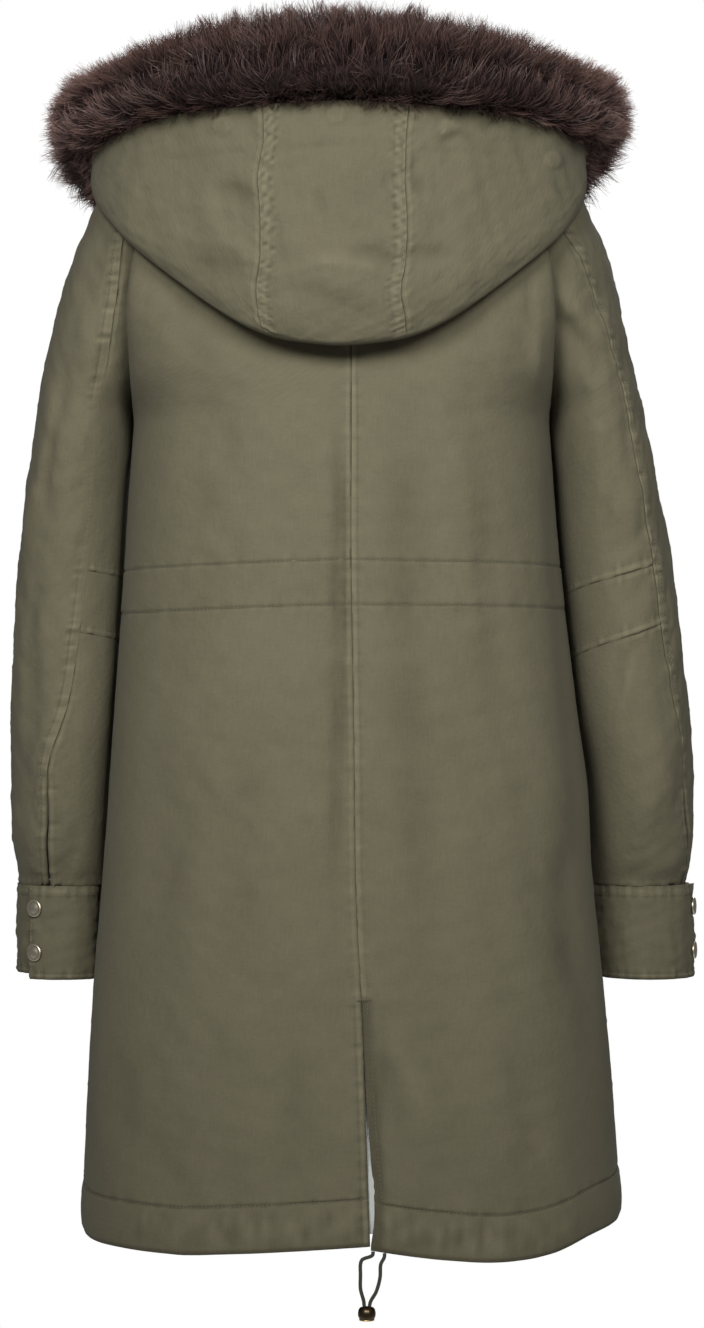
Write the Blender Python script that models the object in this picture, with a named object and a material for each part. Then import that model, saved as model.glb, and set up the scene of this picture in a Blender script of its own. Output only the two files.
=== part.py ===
"""A fur trimmed parka, as it hangs on a wearer, hollow, with its hood thrown back.

Millimetres in the tables, metres in the scene. +X is the wearer's right, +Y the way the wearer
faces, +Z up. The origin lies in the middle of the neck, level with the nape of the neckline.
Every cloth piece is a wall: a grid of points on the garment's outer surface, and the same grid
moved in by the cloth's thickness.
"""

import math

import bpy
import numpy as np
from mathutils import Vector
from mathutils.bvhtree import BVHTree

MM = 0.001

# Cloth and seams.
CLOTH = 2.0
CUFF_CLOTH = 2.6
PLACKET_CLOTH = 2.4
SET_IN = 0.2  # every wall starts this far inside the nominal surface
SEAM_TRIM = 0.25  # and stops this far from the seam line
UNDERARM_TRIM = 0.4  # the same at the sleeve's underarm seam, which is pressed against the body
LIES_OVER = 0.6  # clear space under a piece that lies on another
NECK_GAP = 0.2  # between the neckline and the hood that is sewn to it

# Heights. Up to the underarm a height is a plain z; above it, it runs on along the raglan seam.
HEM = -870.0
HEM_STITCH = -834.0
UNDERARM = -235.0
NECK = 75.0
CUFF_SEAM = -605.0
CUFF_FOOT = -681.0
SLIT_TOP = -512.0

# The body below the underarm: one ring of cloth at each height. sway is how far its middle
# stands to the right, seam how far the centre back seam lies from that middle.
TORSO = (
    "z  half side_y back_y front_y fullness sway seam",
    (-870, 216, 15, -170, 150, 2.4, 8.0, 14.3),
    (-760, 210, 16, -163, 145, 2.4, 6.5, 12.0),
    (-690, 205, 17, -157, 140, 2.45, 5.5, 10.3),
    (-580, 195, 19, -150, 133, 2.5, 4.5, 6.5),
    (-456, 185, 21, -142, 126, 2.5, 3.0, 6.5),
    (-365, 176.5, 22, -138, 121, 2.5, 1.0, 7.0),
    (-290, 171, 24, -139, 122, 2.5, 0.0, 7.8),
    (-235, 167, 25, -140, 125, 2.5, 0.0, 8.0),
)

# The body above the underarm: the middle of each row, and how far round its ends wrap.
YOKE = (
    "height back_y back_z back_wrap front_y front_z front_wrap fullness seam",
    (-235, -140, -235, 90, 125, -235, 90, 2.5, 8.0),
    (-196, -140, -192, 96, 124, -207, 96, 2.45, 8.0),
    (-148, -138, -143, 106, 121, -173, 102, 2.3, 7.0),
    (-91, -130, -90, 110, 116, -142, 98, 2.15, 5.0),
    (-17, -110, -42, 92, 107, -112, 80, 2.0, 3.0),
    (75, -76, 0, 66, 92, -85, 64, 2.0, 0.0),
)

# One sleeve: its outermost point on each arm, its innermost, how far round it reaches, half its
# depth, the tip of its section, and where the back seam lies on each arm.
SLEEVE = (
    "height out_left out_right out_y out_z in_left in_right in_y in_z reach deep tip seam_left seam_right",
    (-681, 271.5, 280, 74, -681, 190, 199, 74, -681, 180, 46, 0, -70, -22),
    (-645, 270.5, 279, 73, -645, 190, 199, 73, -645, 180, 47, 0, -70, -22),
    (-605, 268.5, 276, 72, -605, 188, 197, 72, -605, 180, 50, 0, -72, -24),
    (-590, 271, 280, 71, -590, 187, 196, 71, -590, 180, 60, 0, -74, -28),
    (-560, 274, 282.5, 68, -560, 186, 195, 68, -560, 180, 71, 0, -77, -36),
    (-510, 274, 282.5, 62, -510, 184, 193, 62, -510, 180, 77, 0, -79, -39),
    (-456, 271, 278.5, 55, -456, 177, 182, 58, -456, 180, 77, 0, -95, -47),
    (-400, 268, 273, 48, -400, 174, 178, 54, -400, 180, 76, 0, -104, -53),
    (-352, 263.5, 267.5, 42, -352, 171, 174, 50, -352, 180, 76, 0, -109, -54),
    (-290, 255, 256.5, 32, -290, 169, 170, 40, -290, 180, 77, 0, -117, -53),
    (-235, 247, 245, 25, -235, 167, 167, 25, -235, 180, 78, 0, -116, -54),
    (-196, 240.5, 236, 20, -197, 166, 166, 18, -200, 138, 80, 0, -107, -55),
    (-148, 229.5, 225, 13, -150, 161, 161, 10, -150, 107, 90, 2, -90, -56),
    (-91, 211, 210, 6, -95, 146, 146, 3, -97, 92, 102, 5, -73, -64),
    (-17, 172, 172, -1, -30, 112, 112, -5, -52, 82, 97, 10, -62, -66),
    (75, 86, 86, -6, 8, 54, 54, -8, -16, 70, 62, 20, -45, -45),
)

# The fur trim by its angle round the neck, 0 at the back: its middle, its pile sideways, up and
# down, how far from its middle the hood's edge meets it, how much lower the left side hangs, and
# how much higher and further in the right side sits.
FUR = (
    "turn middle_r middle_z wide up down lean left_hangs right_up right_in",
    (0, 186, 33, 37, 37, 35, 3, 0, 0, 0),
    (24, 187, 30, 37, 37, 35, 3, 0, 0, 0),
    (44, 191, 25, 37, 34, 33, 3, 0, 0, 0),
    (60, 198, 18, 37, 31, 34, 2, 0, 1, 1),
    (74, 204, 10, 36, 32, 31, -2, 2, 3, 3),
    (88, 205, 0, 35, 36, 31, -8, 5, 5, 4),
    (100, 203, -12, 35, 37, 30, -15, 6, 5, 4),
    (112, 200, -24, 35, 36, 30, -22, 6, 4, 3),
    (134, 180, -45, 33, 34, 27, -27, 3, 2, 2),
    (156, 158, -72, 30, 31, 27, -26, 0, 0, 0),
    (175, 146, -92, 27, 28, 26, -25, 0, 0, 0),
)

# The hood by the same angle: the rim above the neckline, the wall that comes down behind it, the
# fold at the foot, and how much further in that fold sits on the right.
HOOD = (
    "turn rim_r rim_z down_r down_z fold_r fold_z fold_w right_in",
    (0, 97, 17, 146, -62, 164, -184, 15, 0),
    (24, 100, 16, 148, -60, 168, -169, 15, 0),
    (44, 106, 14, 156, -48, 181, -130, 14, 0),
    (55, 110, 13, 162, -38, 194, -102, 12, 0),
    (66, 114, 13, 165, -28, 195, -79, 11, 2),
    (77, 116, 12, 164, -20, 190, -61, 10, 4),
    (88, 116, 10, 158, -10, 184, -48, 9, 6),
    (100, 110, 4, 142, -12, 168, -38, 7, 4),
    (112, 104, -6, 132, -18, 156, -36, 6, 0),
    (134, 98, -30, 114, -36, 132, -48, 5, 0),
    (156, 98, -58, 107, -63, 118, -74, 4, 0),
    (175, 99, -76, 103, -80, 110, -90, 4, 0),
)
HOOD_END = 174.0
HOOD_SEAM_LEFT = 60.0  # how far the centre panel's seams lie from the middle of the back
HOOD_SEAM_RIGHT = 48.0
HOOD_SEAM_NECK = 36.0
HOOD_KNOTS = (0, 0.10, 0.30, 0.49, 0.55, 1.0)
NECK_AXIS_Y = -5.0

# How far the back vent stands open, and how far each hem drops below its plain height.
VENT = (
    "z open",
    (-870, 0.7),
    (-866, 1.0),
    (-852, 5.0),
    (-837, 6.5),
    (-795, 3.8),
    (-750, 1.2),
    (-690, 0.2),
)
HEM_DROP = (
    "share back_left back_right front_left front_right",
    (0.0, 5.0, 0.0, -3.0, -3.0),
    (0.45, -4.5, -8.5, -3.0, -4.0),
    (0.8, -6.0, -3.0, -2.5, -1.0),
    (1.0, -3.0, 2.0, -3.0, 2.0),
)
HEM_DROP_TOP = -560.0
HEM_PUFF = 1.6  # the hem's casing stands this far out between its edge and its stitching

# The largest folds: across the panel from its centre seam, half width, between which heights,
# and how far they stand out (or in, below zero).
FOLDS = {
    "back": (
        "across half_width top foot depth",
        (-9, 15, -300, -720, -3.2),
        (-70, 34, -420, -860, 1.8),
        (-165, 30, -330, -800, -2.0),
        (62, 26, -450, -860, -2.2),
        (150, 34, -380, -860, 2.2),
        (205, 22, -250, -700, -2.4),
    ),
    "front": (
        "across half_width top foot depth",
        (-150, 32, -300, -860, -3.0),
        (-95, 26, -480, -860, 2.4),
        (110, 28, -420, -860, -2.6),
        (165, 30, -260, -780, 2.2),
    ),
}
FOLD_FADE = 70.0

# Rows and columns of the walls.
BODY_HEIGHTS = (-870, -852, -834, -790, -730, -660, -580, -500, -420, -348, -290, -235)
YOKE_HEIGHTS = (-205, -172, -140, -105, -70, -35, 5, 40, 75)
BODY_COLUMNS = 10
TOP_SLEEVE_COLUMNS = 12
UNDER_SLEEVE_COLUMNS = 5
CUFF_ROWS, CUFF_COLUMNS = 3, 28
HOOD_ROWS = (0, 0.04, 0.08, 0.12, 0.18, 0.24, 0.3, 0.37, 0.43)
HOOD_ROWS += (0.48, 0.52, 0.56, 0.62, 0.7, 0.78, 0.86, 0.93, 1)
HOOD_CENTRE_COLUMNS = 5
HOOD_SIDE_TURNS = (18, 30, 40, 49, 57, 64, 71, 78, 86, 95, 105, 118, 132, 146, 160, 174)
FUR_SIDES, FUR_SECTIONS = 14, 40
ROW_POINTS = 601  # how finely a body row is drawn before it is measured off

# The back seam's slit on each arm, and the seams of the elbow piece: the height of each seam at
# the back seam, and how far it drops on its way to the underarm.
SLIT_OPEN = {"left": 1.4, "right": 2.6}
ELBOW = {"left": ((-401.0, 10.0), (-352.0, 8.0)), "right": ((-394.0, 34.0), (-347.0, 29.0))}
LOWER_SHARES = (0, 0.06, 0.15, 0.3, 0.46, 0.64, 0.82, 1)
ELBOW_SHARES = (0, 0.5, 1)
UPPER_SHARES = (0, 0.35, 0.7, 1)

# Cuffs: one band that runs once round the wrist and on over its own beginning.
CUFF_MIDDLE = {"left": -70.0, "right": -28.0}  # the angle of the middle of its overlap
CUFF_OVERLAP = 20.0  # degrees that each end runs past that
CUFF_STEP = CUFF_CLOTH + 0.9
CUFF_LIFT = 4.0  # the under end's foot is this much higher
CUFF_TAPER = 0.5  # the share of the sleeve's widening that the cuff follows
SNAP_HEIGHTS = (-623.0, -659.0)
SNAP_TURN = 11.0  # how far round from the middle of the overlap
CUFF_SNAP_LIFT = 0.3

PLACKET_WIDTH = 54.0
PLACKET_HEIGHTS = (-864, -852, -834, -790, -730, -660, -580, -500, -420, -348, -290, -235)
PLACKET_HEIGHTS += (-205, -172, -140, -105, -70, -35, 5, 40, 62)
PLACKET_SNAPS = (-120.0, -275.0, -430.0, -585.0)

SNAP_RADIUS = 7.2
SNAP_HEIGHT = 3.2

# The hem's drawcord comes out of the right tail's corner, in two strands, down to a metal end.
CORD_RADIUS = 1.4
CORD_GAP = 0.3
CORD_EXITS = (1.6, 10.5)  # how far from the vent each strand comes out of the hem
CORD_Y = -173.0
STRAND_LEFT = ("x z", (15.8, -877), (14.8, -888), (14.9, -899), (17.4, -909), (17.6, -911.6))
STRAND_RIGHT = ("x z", (30.2, -880), (29.6, -890), (26.6, -901), (22.2, -909), (21.6, -911.6))
STRAND_POINTS = 13
BEAD_TOP = (19.6, CORD_Y, -912.0)
BEAD_RADIUS = 6.8
BEAD_HEIGHT = 10.5
BEAD_SHAPE = ((0.5, 0), (0.88, 0.14), (1, 0.4), (1, 0.62), (0.9, 0.86), (0.8, 1))  # radius, height
BEAD_SIDES = 14

OLIVE = (0.165, 0.150, 0.098)
FUR_BROWN = (0.030, 0.019, 0.017)
PALE_GOLD = (0.62, 0.50, 0.36)
BRONZE = (0.20, 0.17, 0.12)
CORD_GREEN = (0.045, 0.045, 0.035)


# ---------------------------------------------------------------- reading the tables


def smooth(key, knots, values):
    """values at key, on a smooth curve through the rows that doesn't overshoot them."""
    key = np.clip(np.asarray(key, float), knots[0], knots[-1])
    step = np.diff(knots)[:, None]
    slope = np.diff(values, axis=0) / step
    tangent = np.zeros_like(values)
    turns = slope[:-1] * slope[1:] > 0
    mean = (slope[:-1] * step[1:] + slope[1:] * step[:-1]) / (step[1:] + step[:-1])
    tangent[1:-1] = np.where(turns, mean, 0.0)
    tangent[0], tangent[-1] = slope[0], slope[-1]
    spot = np.clip(np.searchsorted(knots, key, side="right") - 1, 0, len(knots) - 2)
    width = step[spot, 0][..., None]
    part = (key - knots[spot])[..., None] / width
    low, high = values[spot], values[spot + 1]
    bend = part * part * (3 - 2 * part)
    lead = part * (1 - part) ** 2 * width * tangent[spot]
    tail = part * part * (part - 1) * width * tangent[spot + 1]
    return low + (high - low) * bend + lead + tail


class Row:
    """The columns of a table, read smoothly at a value of its first column."""

    def __init__(self, table, key):
        rows = np.array(table[1:], float)
        found = smooth(key, rows[:, 0], rows[:, 1:])
        for i, name in enumerate(table[0].split()[1:]):
            setattr(self, name, found[..., i])

    def get(self, name):
        return getattr(self, name)


def ramp(value, start, end):
    """0 before start, 1 after end, and smooth between."""
    part = np.clip((value - start) / (end - start), 0, 1)
    return part * part * (3 - 2 * part)


def normals(grid, sign):
    """Unit normals of a grid, pointing out of the garment."""
    along_row = np.gradient(grid, axis=1, edge_order=2)
    found = np.cross(along_row, np.gradient(grid, axis=0, edge_order=2)) * sign
    return found / np.linalg.norm(found, axis=-1, keepdims=True)


# ---------------------------------------------------------------- the sleeve's surface

SLEEVE_ROOM = 1.8  # clear space between the body and the sleeve that rests against it
SLEEVE_SOFT = 4.0  # how gently the sleeve comes down to that


def sign_of(arm):
    return -1 if arm == "left" else 1


def sleeve_surface(arm, height, turn, stand=0.0):
    """Points of a sleeve, turn in degrees from 0 outward to 90 forward, stand out from its surface."""
    height, turn = np.broadcast_arrays(np.asarray(height, float), np.asarray(turn, float))
    row = Row(SLEEVE, height)
    out = np.stack([row.get("out_" + arm), row.out_y, row.out_z], -1)
    inner = np.stack([row.get("in_" + arm), row.in_y, row.in_z], -1)
    reach = np.radians(row.reach)[..., None]
    across = (out - inner) / (1 - np.cos(reach))
    tip = np.radians(row.tip)
    forward = np.stack([0 * tip, np.cos(tip), -np.sin(tip)], -1) * row.deep[..., None]
    angle = np.radians(turn)[..., None]
    spoke = np.cos(angle) * across + np.sin(angle) * forward
    grow = 1 + np.asarray(stand)[..., None] / np.linalg.norm(spoke, axis=-1, keepdims=True)
    points = clear_of_body(out - across + spoke * grow, height)
    points[..., 0] = sign_of(arm) * points[..., 0] + Row(TORSO, points[..., 2]).sway * (height < UNDERARM)
    return points


def clear_of_body(points, height):
    """Sleeve points that would lie in the body are moved out to just clear of it."""
    ring = Row(TORSO, points[..., 2])
    back = points[..., 1] < ring.side_y
    depth = np.where(back, ring.side_y - ring.back_y, ring.front_y - ring.side_y)
    part = np.clip(np.abs(points[..., 1] - ring.side_y) / depth, 0, 1)
    edge = ring.half * (1 - part**ring.fullness) ** (1 / ring.fullness)
    below = 1 - ramp(height, UNDERARM - 45, UNDERARM)
    room, soft = SLEEVE_ROOM * below, SLEEVE_SOFT * below + 1e-3
    over = (points[..., 0] - edge - room) / soft
    lift = np.where(over < -1, -over, (1 - np.minimum(over, 1)) ** 2 / 4) * soft
    points = points.copy()
    points[..., 0] += np.where(below > 0, lift, 0)
    return points


def sleeve_reach(height):
    return Row(SLEEVE, height).reach


def sleeve_seam(arm, height):
    return Row(SLEEVE, height).get("seam_" + arm)


def degrees_for(arm, height, turn, length):
    """The turn that a length along the section spans there."""
    low, high = sleeve_surface(arm, height, turn - 0.5), sleeve_surface(arm, height, turn + 0.5)
    return length / np.linalg.norm(high - low, axis=-1)


# ---------------------------------------------------------------- the body's surface


def body_row(face, height):
    """One row of the back or the front, from the left side seam to the right, closely spaced."""
    if height <= UNDERARM:
        ring = Row(TORSO, height)
        ends = [np.array([ring.sway + s * ring.half, ring.side_y, height]) for s in (-1, 1)]
        middle = np.array([ring.sway, ring.get(face + "_y"), height])
        wrap, fullness = math.pi / 2, ring.fullness
    else:
        row = Row(YOKE, height)
        edge = sleeve_reach(height) * (-1 if face == "back" else 1)
        ends = [sleeve_surface(arm, height, edge) for arm in ("left", "right")]
        middle = np.array([(ends[0][0] + ends[1][0]) / 2, row.get(face + "_y"), row.get(face + "_z")])
        wrap, fullness = math.radians(row.get(face + "_wrap")), row.fullness
    angle = np.linspace(-wrap, wrap, ROW_POINTS)[:, None]
    across = np.sin(angle) / math.sin(wrap)
    deep = np.clip((np.cos(angle) - math.cos(wrap)) / (1 - math.cos(wrap)), 0, 1)
    across = np.sign(across) * np.abs(across) ** (2 / fullness)
    centre = (ends[0] + ends[1]) / 2
    return centre + (ends[1] - ends[0]) / 2 * across + (middle - centre) * deep ** (2 / fullness)


def along(points):
    return np.concatenate([[0], np.cumsum(np.linalg.norm(np.diff(points, axis=0), axis=1))])


def centre_seam(face, height, length):
    """Where the centre seam lies on a row, measured from its left end."""
    if face == "front":
        return length / 2
    return length / 2 + float(Row(TORSO if height <= UNDERARM else YOKE, height).seam)


def body_grid(face, half, heights, shares, gap=None):
    """Points and distances from the centre seam of one body panel, its rows upwards. shares run
    from 0 at the left edge to 1 at the right, gap(height) is the space left at the centre."""
    points, across = [], []
    for height in heights:
        row = body_row(face, height)
        run = along(row)
        middle = centre_seam(face, height, run[-1])
        near = gap(height) if gap and half == "right" else SEAM_TRIM
        left, right = (SEAM_TRIM, middle - near) if half == "left" else (middle + near, run[-1] - SEAM_TRIM)
        places = left + (right - left) * np.asarray(shares)
        line = np.stack([np.interp(places, run, row[:, i]) for i in range(3)], -1)
        side_share = np.abs(places - middle) / (middle if half == "left" else run[-1] - middle)
        line[:, 2] += hem_drop(face, half, side_share, height)
        points.append(line)
        across.append(places - middle)
    return np.array(points), np.array(across)


def hem_drop(face, half, side_share, height):
    drop = Row(HEM_DROP, side_share).get(f"{face}_{half}")
    return drop * (1 - ramp(height, HEM, HEM_DROP_TOP))


def fold_depth(face, across, height):
    """How far the largest folds and the hem's casing stand out of the plain surface."""
    total = HEM_PUFF * np.sin(math.pi * np.clip((height - HEM) / (HEM_STITCH - HEM), 0, 1)) + 0 * across
    for place, half_width, top, foot, depth in FOLDS[face][1:]:
        length = ramp(-height, -top, -top + FOLD_FADE) * (1 - ramp(-height, -foot, -foot + FOLD_FADE))
        total += depth * length * np.exp(-(((across - place) / half_width) ** 2))
    return total


def body_panel(face, half, heights, shares, gap=None):
    """The outer surface of a body panel with its folds."""
    grid, across = body_grid(face, half, heights, shares, gap)
    out = normals(grid, 1 if face == "back" else -1)
    return grid + out * fold_depth(face, across, np.array(heights, float)[:, None])[..., None]


# ---------------------------------------------------------------- what lies on the shoulders


def search_tree(*grids):
    """A tree of the faces of some grids, each given with its outward sign."""
    points, faces = [], []
    for grid, sign in grids:
        start, columns = len(points), grid.shape[1]
        points += [tuple(point) for point in grid.reshape(-1, 3)]
        for v in range(grid.shape[0] - 1):
            for u in range(columns - 1):
                low = start + v * columns + u
                face = (low, low + 1, low + columns + 1, low + columns)
                faces.append(face if sign > 0 else face[::-1])
    return BVHTree.FromPolygons(points, faces)


def shoulders():
    """The sleeves' tops, the yoke and the chest, as a search tree."""
    heights = np.linspace(-330, NECK, 70)
    grids = []
    for arm in ("left", "right"):
        turns = sleeve_reach(heights)[:, None] * np.linspace(-1, 1, 61)
        grids.append((sleeve_surface(arm, heights[:, None], turns), sign_of(arm)))
    for face, sign in (("back", 1), ("front", -1)):
        rows = [body_row(face, height)[::12] for height in heights]
        grids.append((np.array(rows), sign))
    return search_tree(*grids)


def push(points, tree, gap, soft):
    """How far each point has to move, and which way, to keep its gap to a surface."""
    gap, soft = (np.broadcast_to(value, points.shape[:-1]) for value in (gap, soft))
    moves = np.zeros(points.shape)
    for spot in np.ndindex(points.shape[:-1]):
        near, face, _, _ = tree.find_nearest(Vector(points[spot]))
        short = gap[spot] - (Vector(points[spot]) - near).dot(face)
        if short > -soft[spot]:
            rises = short <= soft[spot]
            lift = (short + soft[spot]) ** 2 / (4 * soft[spot]) if rises else short
            moves[spot] = face * lift
    return moves


SHOULDERS = shoulders()
FUR_OFF_SHOULDER = 8.5


def fur_surface(turn, spin, grow=0.0, rounded=True):
    """Points of the fur's surface: turn round the neck, spin round the band from its outer side."""
    turn, spin = np.broadcast_arrays(np.asarray(turn, float), np.asarray(spin, float))
    row = Row(FUR, np.abs(turn))
    near_end = np.clip((np.abs(turn) - HOOD_END + 9) / 10, 0, 1)
    close = np.sqrt(1 - rounded * near_end**2)
    across, rise = np.cos(spin), np.sin(spin)
    middle_r = row.middle_r - np.where(turn > 0, row.right_in, 0)
    middle_z = row.middle_z + np.where(turn > 0, row.right_up, -row.left_hangs)
    r = middle_r + (close * row.wide + grow) * across
    z = middle_z + (close * np.where(rise < 0, row.down, row.up) + grow) * rise
    angle = np.radians(turn)
    points = np.stack([r * np.sin(angle), NECK_AXIS_Y - r * np.cos(angle), z], -1)
    return points + push(points, SHOULDERS, FUR_OFF_SHOULDER + grow, 4.0)


def fur_tree():
    """The fur solid's own faces, as a search tree."""
    turns = np.linspace(-HOOD_END, HOOD_END, FUR_SECTIONS + 1)[:, None]
    spins = np.linspace(0, 2 * math.pi, FUR_SIDES + 1)[None, :]
    return search_tree((fur_surface(turns, spins), -1))


def neckline():
    """The whole neckline by its angle round the neck, 0 at the back, as (angles, points)."""
    turns = sleeve_reach(NECK) * np.linspace(-1, 1, 121)
    parts = [body_row("back", NECK), body_row("front", NECK)]
    parts += [sleeve_surface(arm, NECK, turns) for arm in ("left", "right")]
    points = np.concatenate(parts)
    angles = np.degrees(np.arctan2(points[:, 0], NECK_AXIS_Y - points[:, 1]))
    order = np.argsort(angles)
    return angles[order], points[order]


FUR_TREE = fur_tree()
NECKLINE = neckline()


def hood_plain(turn, down):
    """Points of the hood before it is moved off the shoulders: down runs from 0 at the neckline,
    over the rim to the fold and up to 1 at the edge under the fur."""
    turn, down = np.broadcast_arrays(np.asarray(turn, float), np.asarray(down, float))
    row, fur = Row(HOOD, np.abs(turn)), Row(FUR, np.abs(turn))
    neck = [np.interp(turn, NECKLINE[0], NECKLINE[1][:, i]) for i in range(3)]
    neck_r = np.hypot(neck[0], neck[1] - NECK_AXIS_Y) - NECK_GAP
    meets = -np.arccos(np.clip(fur.lean / fur.wide, -1, 1))
    edge = fur_surface(turn[-1:], meets[-1:], LIES_OVER, rounded=False)
    edge = np.broadcast_to(edge, (*turn.shape, 3))
    edge_r = np.hypot(edge[..., 0], edge[..., 1] - NECK_AXIS_Y)
    fold_r = row.fold_r - np.where(turn > 0, row.right_in, 0)
    fold_in, fold_out = fold_r - row.fold_w / 2, fold_r + row.fold_w / 2
    r = section(down, neck_r, row.rim_r, row.down_r, fold_in, fold_out, edge_r)
    z = section(down, neck[2] + NECK_GAP, row.rim_z, row.down_z, row.fold_z, row.fold_z, edge[..., 2])
    angle = np.radians(turn)
    return np.stack([r * np.sin(angle), NECK_AXIS_Y - r * np.cos(angle), z], -1)


def section(down, *values):
    """One coordinate of the hood's section, smooth through the values at its named points."""
    knots, values = np.array(HOOD_KNOTS), np.stack(values, -1)
    slope = np.diff(values, axis=-1) / np.diff(knots)
    middle = (slope[..., 1:] + slope[..., :-1]) / 2
    tangent = np.concatenate([slope[..., :1], middle, slope[..., -1:]], -1)
    spot = np.clip(np.searchsorted(knots, down, side="right") - 1, 0, len(knots) - 2)
    width = np.diff(knots)[spot]
    part = (down - knots[spot]) / width
    low = np.take_along_axis(values, spot[..., None], -1)[..., 0]
    high = np.take_along_axis(values, spot[..., None] + 1, -1)[..., 0]
    start = np.take_along_axis(tangent, spot[..., None], -1)[..., 0]
    end = np.take_along_axis(tangent, spot[..., None] + 1, -1)[..., 0]
    bend = part * part * (3 - 2 * part)
    swing = part * (1 - part) ** 2 * start + part * part * (part - 1) * end
    return low + (high - low) * bend + width * swing


def hood_seam(side, down):
    """The angle of a centre panel seam, which keeps its distance from the middle of the hood."""
    reach = HOOD_SEAM_LEFT if side < 0 else HOOD_SEAM_RIGHT
    x = HOOD_SEAM_NECK + (reach - HOOD_SEAM_NECK) * ramp(down, 0.0, 0.5)
    r = np.linalg.norm(hood_plain(0.0 * down, down)[..., :2] - (0, NECK_AXIS_Y), axis=-1)
    return side * np.degrees(np.arcsin(np.clip(x / r, 0, 0.9)))


def hood_grid(start, end, rows, shares):
    """The outer surface of a hood panel between two angles, each a function of down."""
    down = np.array(rows, float)[:, None]
    turn = start(down) + (end(down) - start(down)) * np.asarray(shares)
    grid = hood_plain(turn, down)
    free = ramp(down, 0.0, 0.12)
    for tree, gap, soft in ((SHOULDERS, 0.3 + 1.9 * free, 0.1 + 1.9 * free), (FUR_TREE, 1.0, 0.5)):
        grid = grid + longest(*(push(side, tree, gap, soft) for side in both_sides(grid)))
    for _ in range(2):
        moves = [0 * grid]
        for side in both_sides(grid):
            middles = (side[1:, 1:] + side[:-1, 1:] + side[1:, :-1] + side[:-1, :-1]) / 4
            step = push(middles, SHOULDERS, 0.3 + 1.1 * free[1:], 0.3)
            for v, u in ((0, 0), (0, 1), (1, 0), (1, 1)):
                moves.append(np.pad(step, ((v, 1 - v), (u, 1 - u), (0, 0))))
        grid = grid + longest(*moves)
    return grid


def both_sides(grid):
    """The outer and the inner side of a hood panel."""
    return grid, grid - normals(grid, 1) * (CLOTH + SET_IN)


def longest(*moves):
    """At each point the longest of some moves."""
    best = moves[0]
    for move in moves[1:]:
        further = np.linalg.norm(move, axis=-1) > np.linalg.norm(best, axis=-1)
        best = np.where(further[..., None], move, best)
    return best


# ---------------------------------------------------------------- solids


def material(name, colour, roughness, metallic=0.0):
    made = bpy.data.materials.new(name)
    made.use_nodes = True
    shader = made.node_tree.nodes["Principled BSDF"]
    shader.inputs["Base Color"].default_value = (*colour, 1.0)
    shader.inputs["Roughness"].default_value = roughness
    shader.inputs["Metallic"].default_value = metallic
    return made


def add_object(name, points, faces, finish, smooth_angle=50.0):
    mesh = bpy.data.meshes.new(name)
    mesh.from_pydata([tuple(p * MM) for p in points], [], faces)
    mesh.materials.append(finish)
    mesh.shade_smooth()
    mesh.set_sharp_from_angle(angle=math.radians(smooth_angle))
    made = bpy.data.objects.new(name, mesh)
    bpy.context.scene.collection.objects.link(made)


def wall(name, grid, sign, thickness, finish, lift=0.0):
    """A closed cloth wall: grid is its outer surface, and sign says which side of it is out."""
    out = normals(grid, sign)
    outer = grid + (lift - SET_IN) * out
    inner = outer - thickness * out
    rows, columns = grid.shape[:2]
    points = np.concatenate([outer.reshape(-1, 3), inner.reshape(-1, 3)])
    layer = rows * columns
    top, last = (rows - 1) * columns, columns - 1
    faces = []
    for v in range(rows - 1):
        for u in range(columns - 1):
            a, b = v * columns + u, (v + 1) * columns + u
            faces.append((a, a + 1, b + 1, b))
            faces.append((layer + a, layer + b, layer + b + 1, layer + a + 1))
    for u in range(columns - 1):
        faces.append((u + 1, u, layer + u, layer + u + 1))
        faces.append((top + u, top + u + 1, layer + top + u + 1, layer + top + u))
    for v in range(rows - 1):
        a, b = v * columns, (v + 1) * columns
        faces.append((a, b, layer + b, layer + a))
        faces.append((b + last, a + last, layer + a + last, layer + b + last))
    if sign < 0:
        faces = [face[::-1] for face in faces]
    add_object(name, points, faces, finish)


def turned(name, outline, base, axis, finish, sides):
    """A turned piece: outline is (radius, height) pairs along the axis, from foot to top."""
    axis = np.array(axis, float) / np.linalg.norm(axis)
    first = np.cross(axis, (0, 0, 1) if abs(axis[2]) < 0.9 else (1, 0, 0))
    first /= np.linalg.norm(first)
    second = np.cross(axis, first)
    angles = np.arange(sides)[:, None] * 2 * math.pi / sides
    ring = np.cos(angles) * first + np.sin(angles) * second
    points = np.concatenate([base + r * ring + h * axis for r, h in outline])
    top = (len(outline) - 1) * sides
    faces = [tuple(reversed(range(sides))), tuple(top + i for i in range(sides))]
    for low in range(0, top, sides):
        for i in range(sides):
            j = (i + 1) % sides
            faces.append((low + i, low + j, low + sides + j, low + sides + i))
    add_object(name, points, faces, finish, 30.0)


def snap(name, base, axis, metal):
    """A snap cap: a low disc with a rounded rim."""
    edge = SNAP_RADIUS
    outline = ((edge * 0.86, 0.0), (edge, 0.9), (edge, 1.9), (edge * 0.8, SNAP_HEIGHT))
    turned(name, outline, base, axis, metal, 12)


# ---------------------------------------------------------------- the pieces


def build_body(cloth):
    heights = (*BODY_HEIGHTS, *YOKE_HEIGHTS[:-1], NECK - SEAM_TRIM)
    shares = np.linspace(0, 1, BODY_COLUMNS + 1)

    def vent(height):
        return max(SEAM_TRIM, float(Row(VENT, height).open))

    for half in ("left", "right"):
        wall("back_" + half, body_panel("back", half, heights, shares, vent), 1, CLOTH, cloth)
        wall("front_" + half, body_panel("front", half, heights, shares), -1, CLOTH, cloth)


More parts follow.
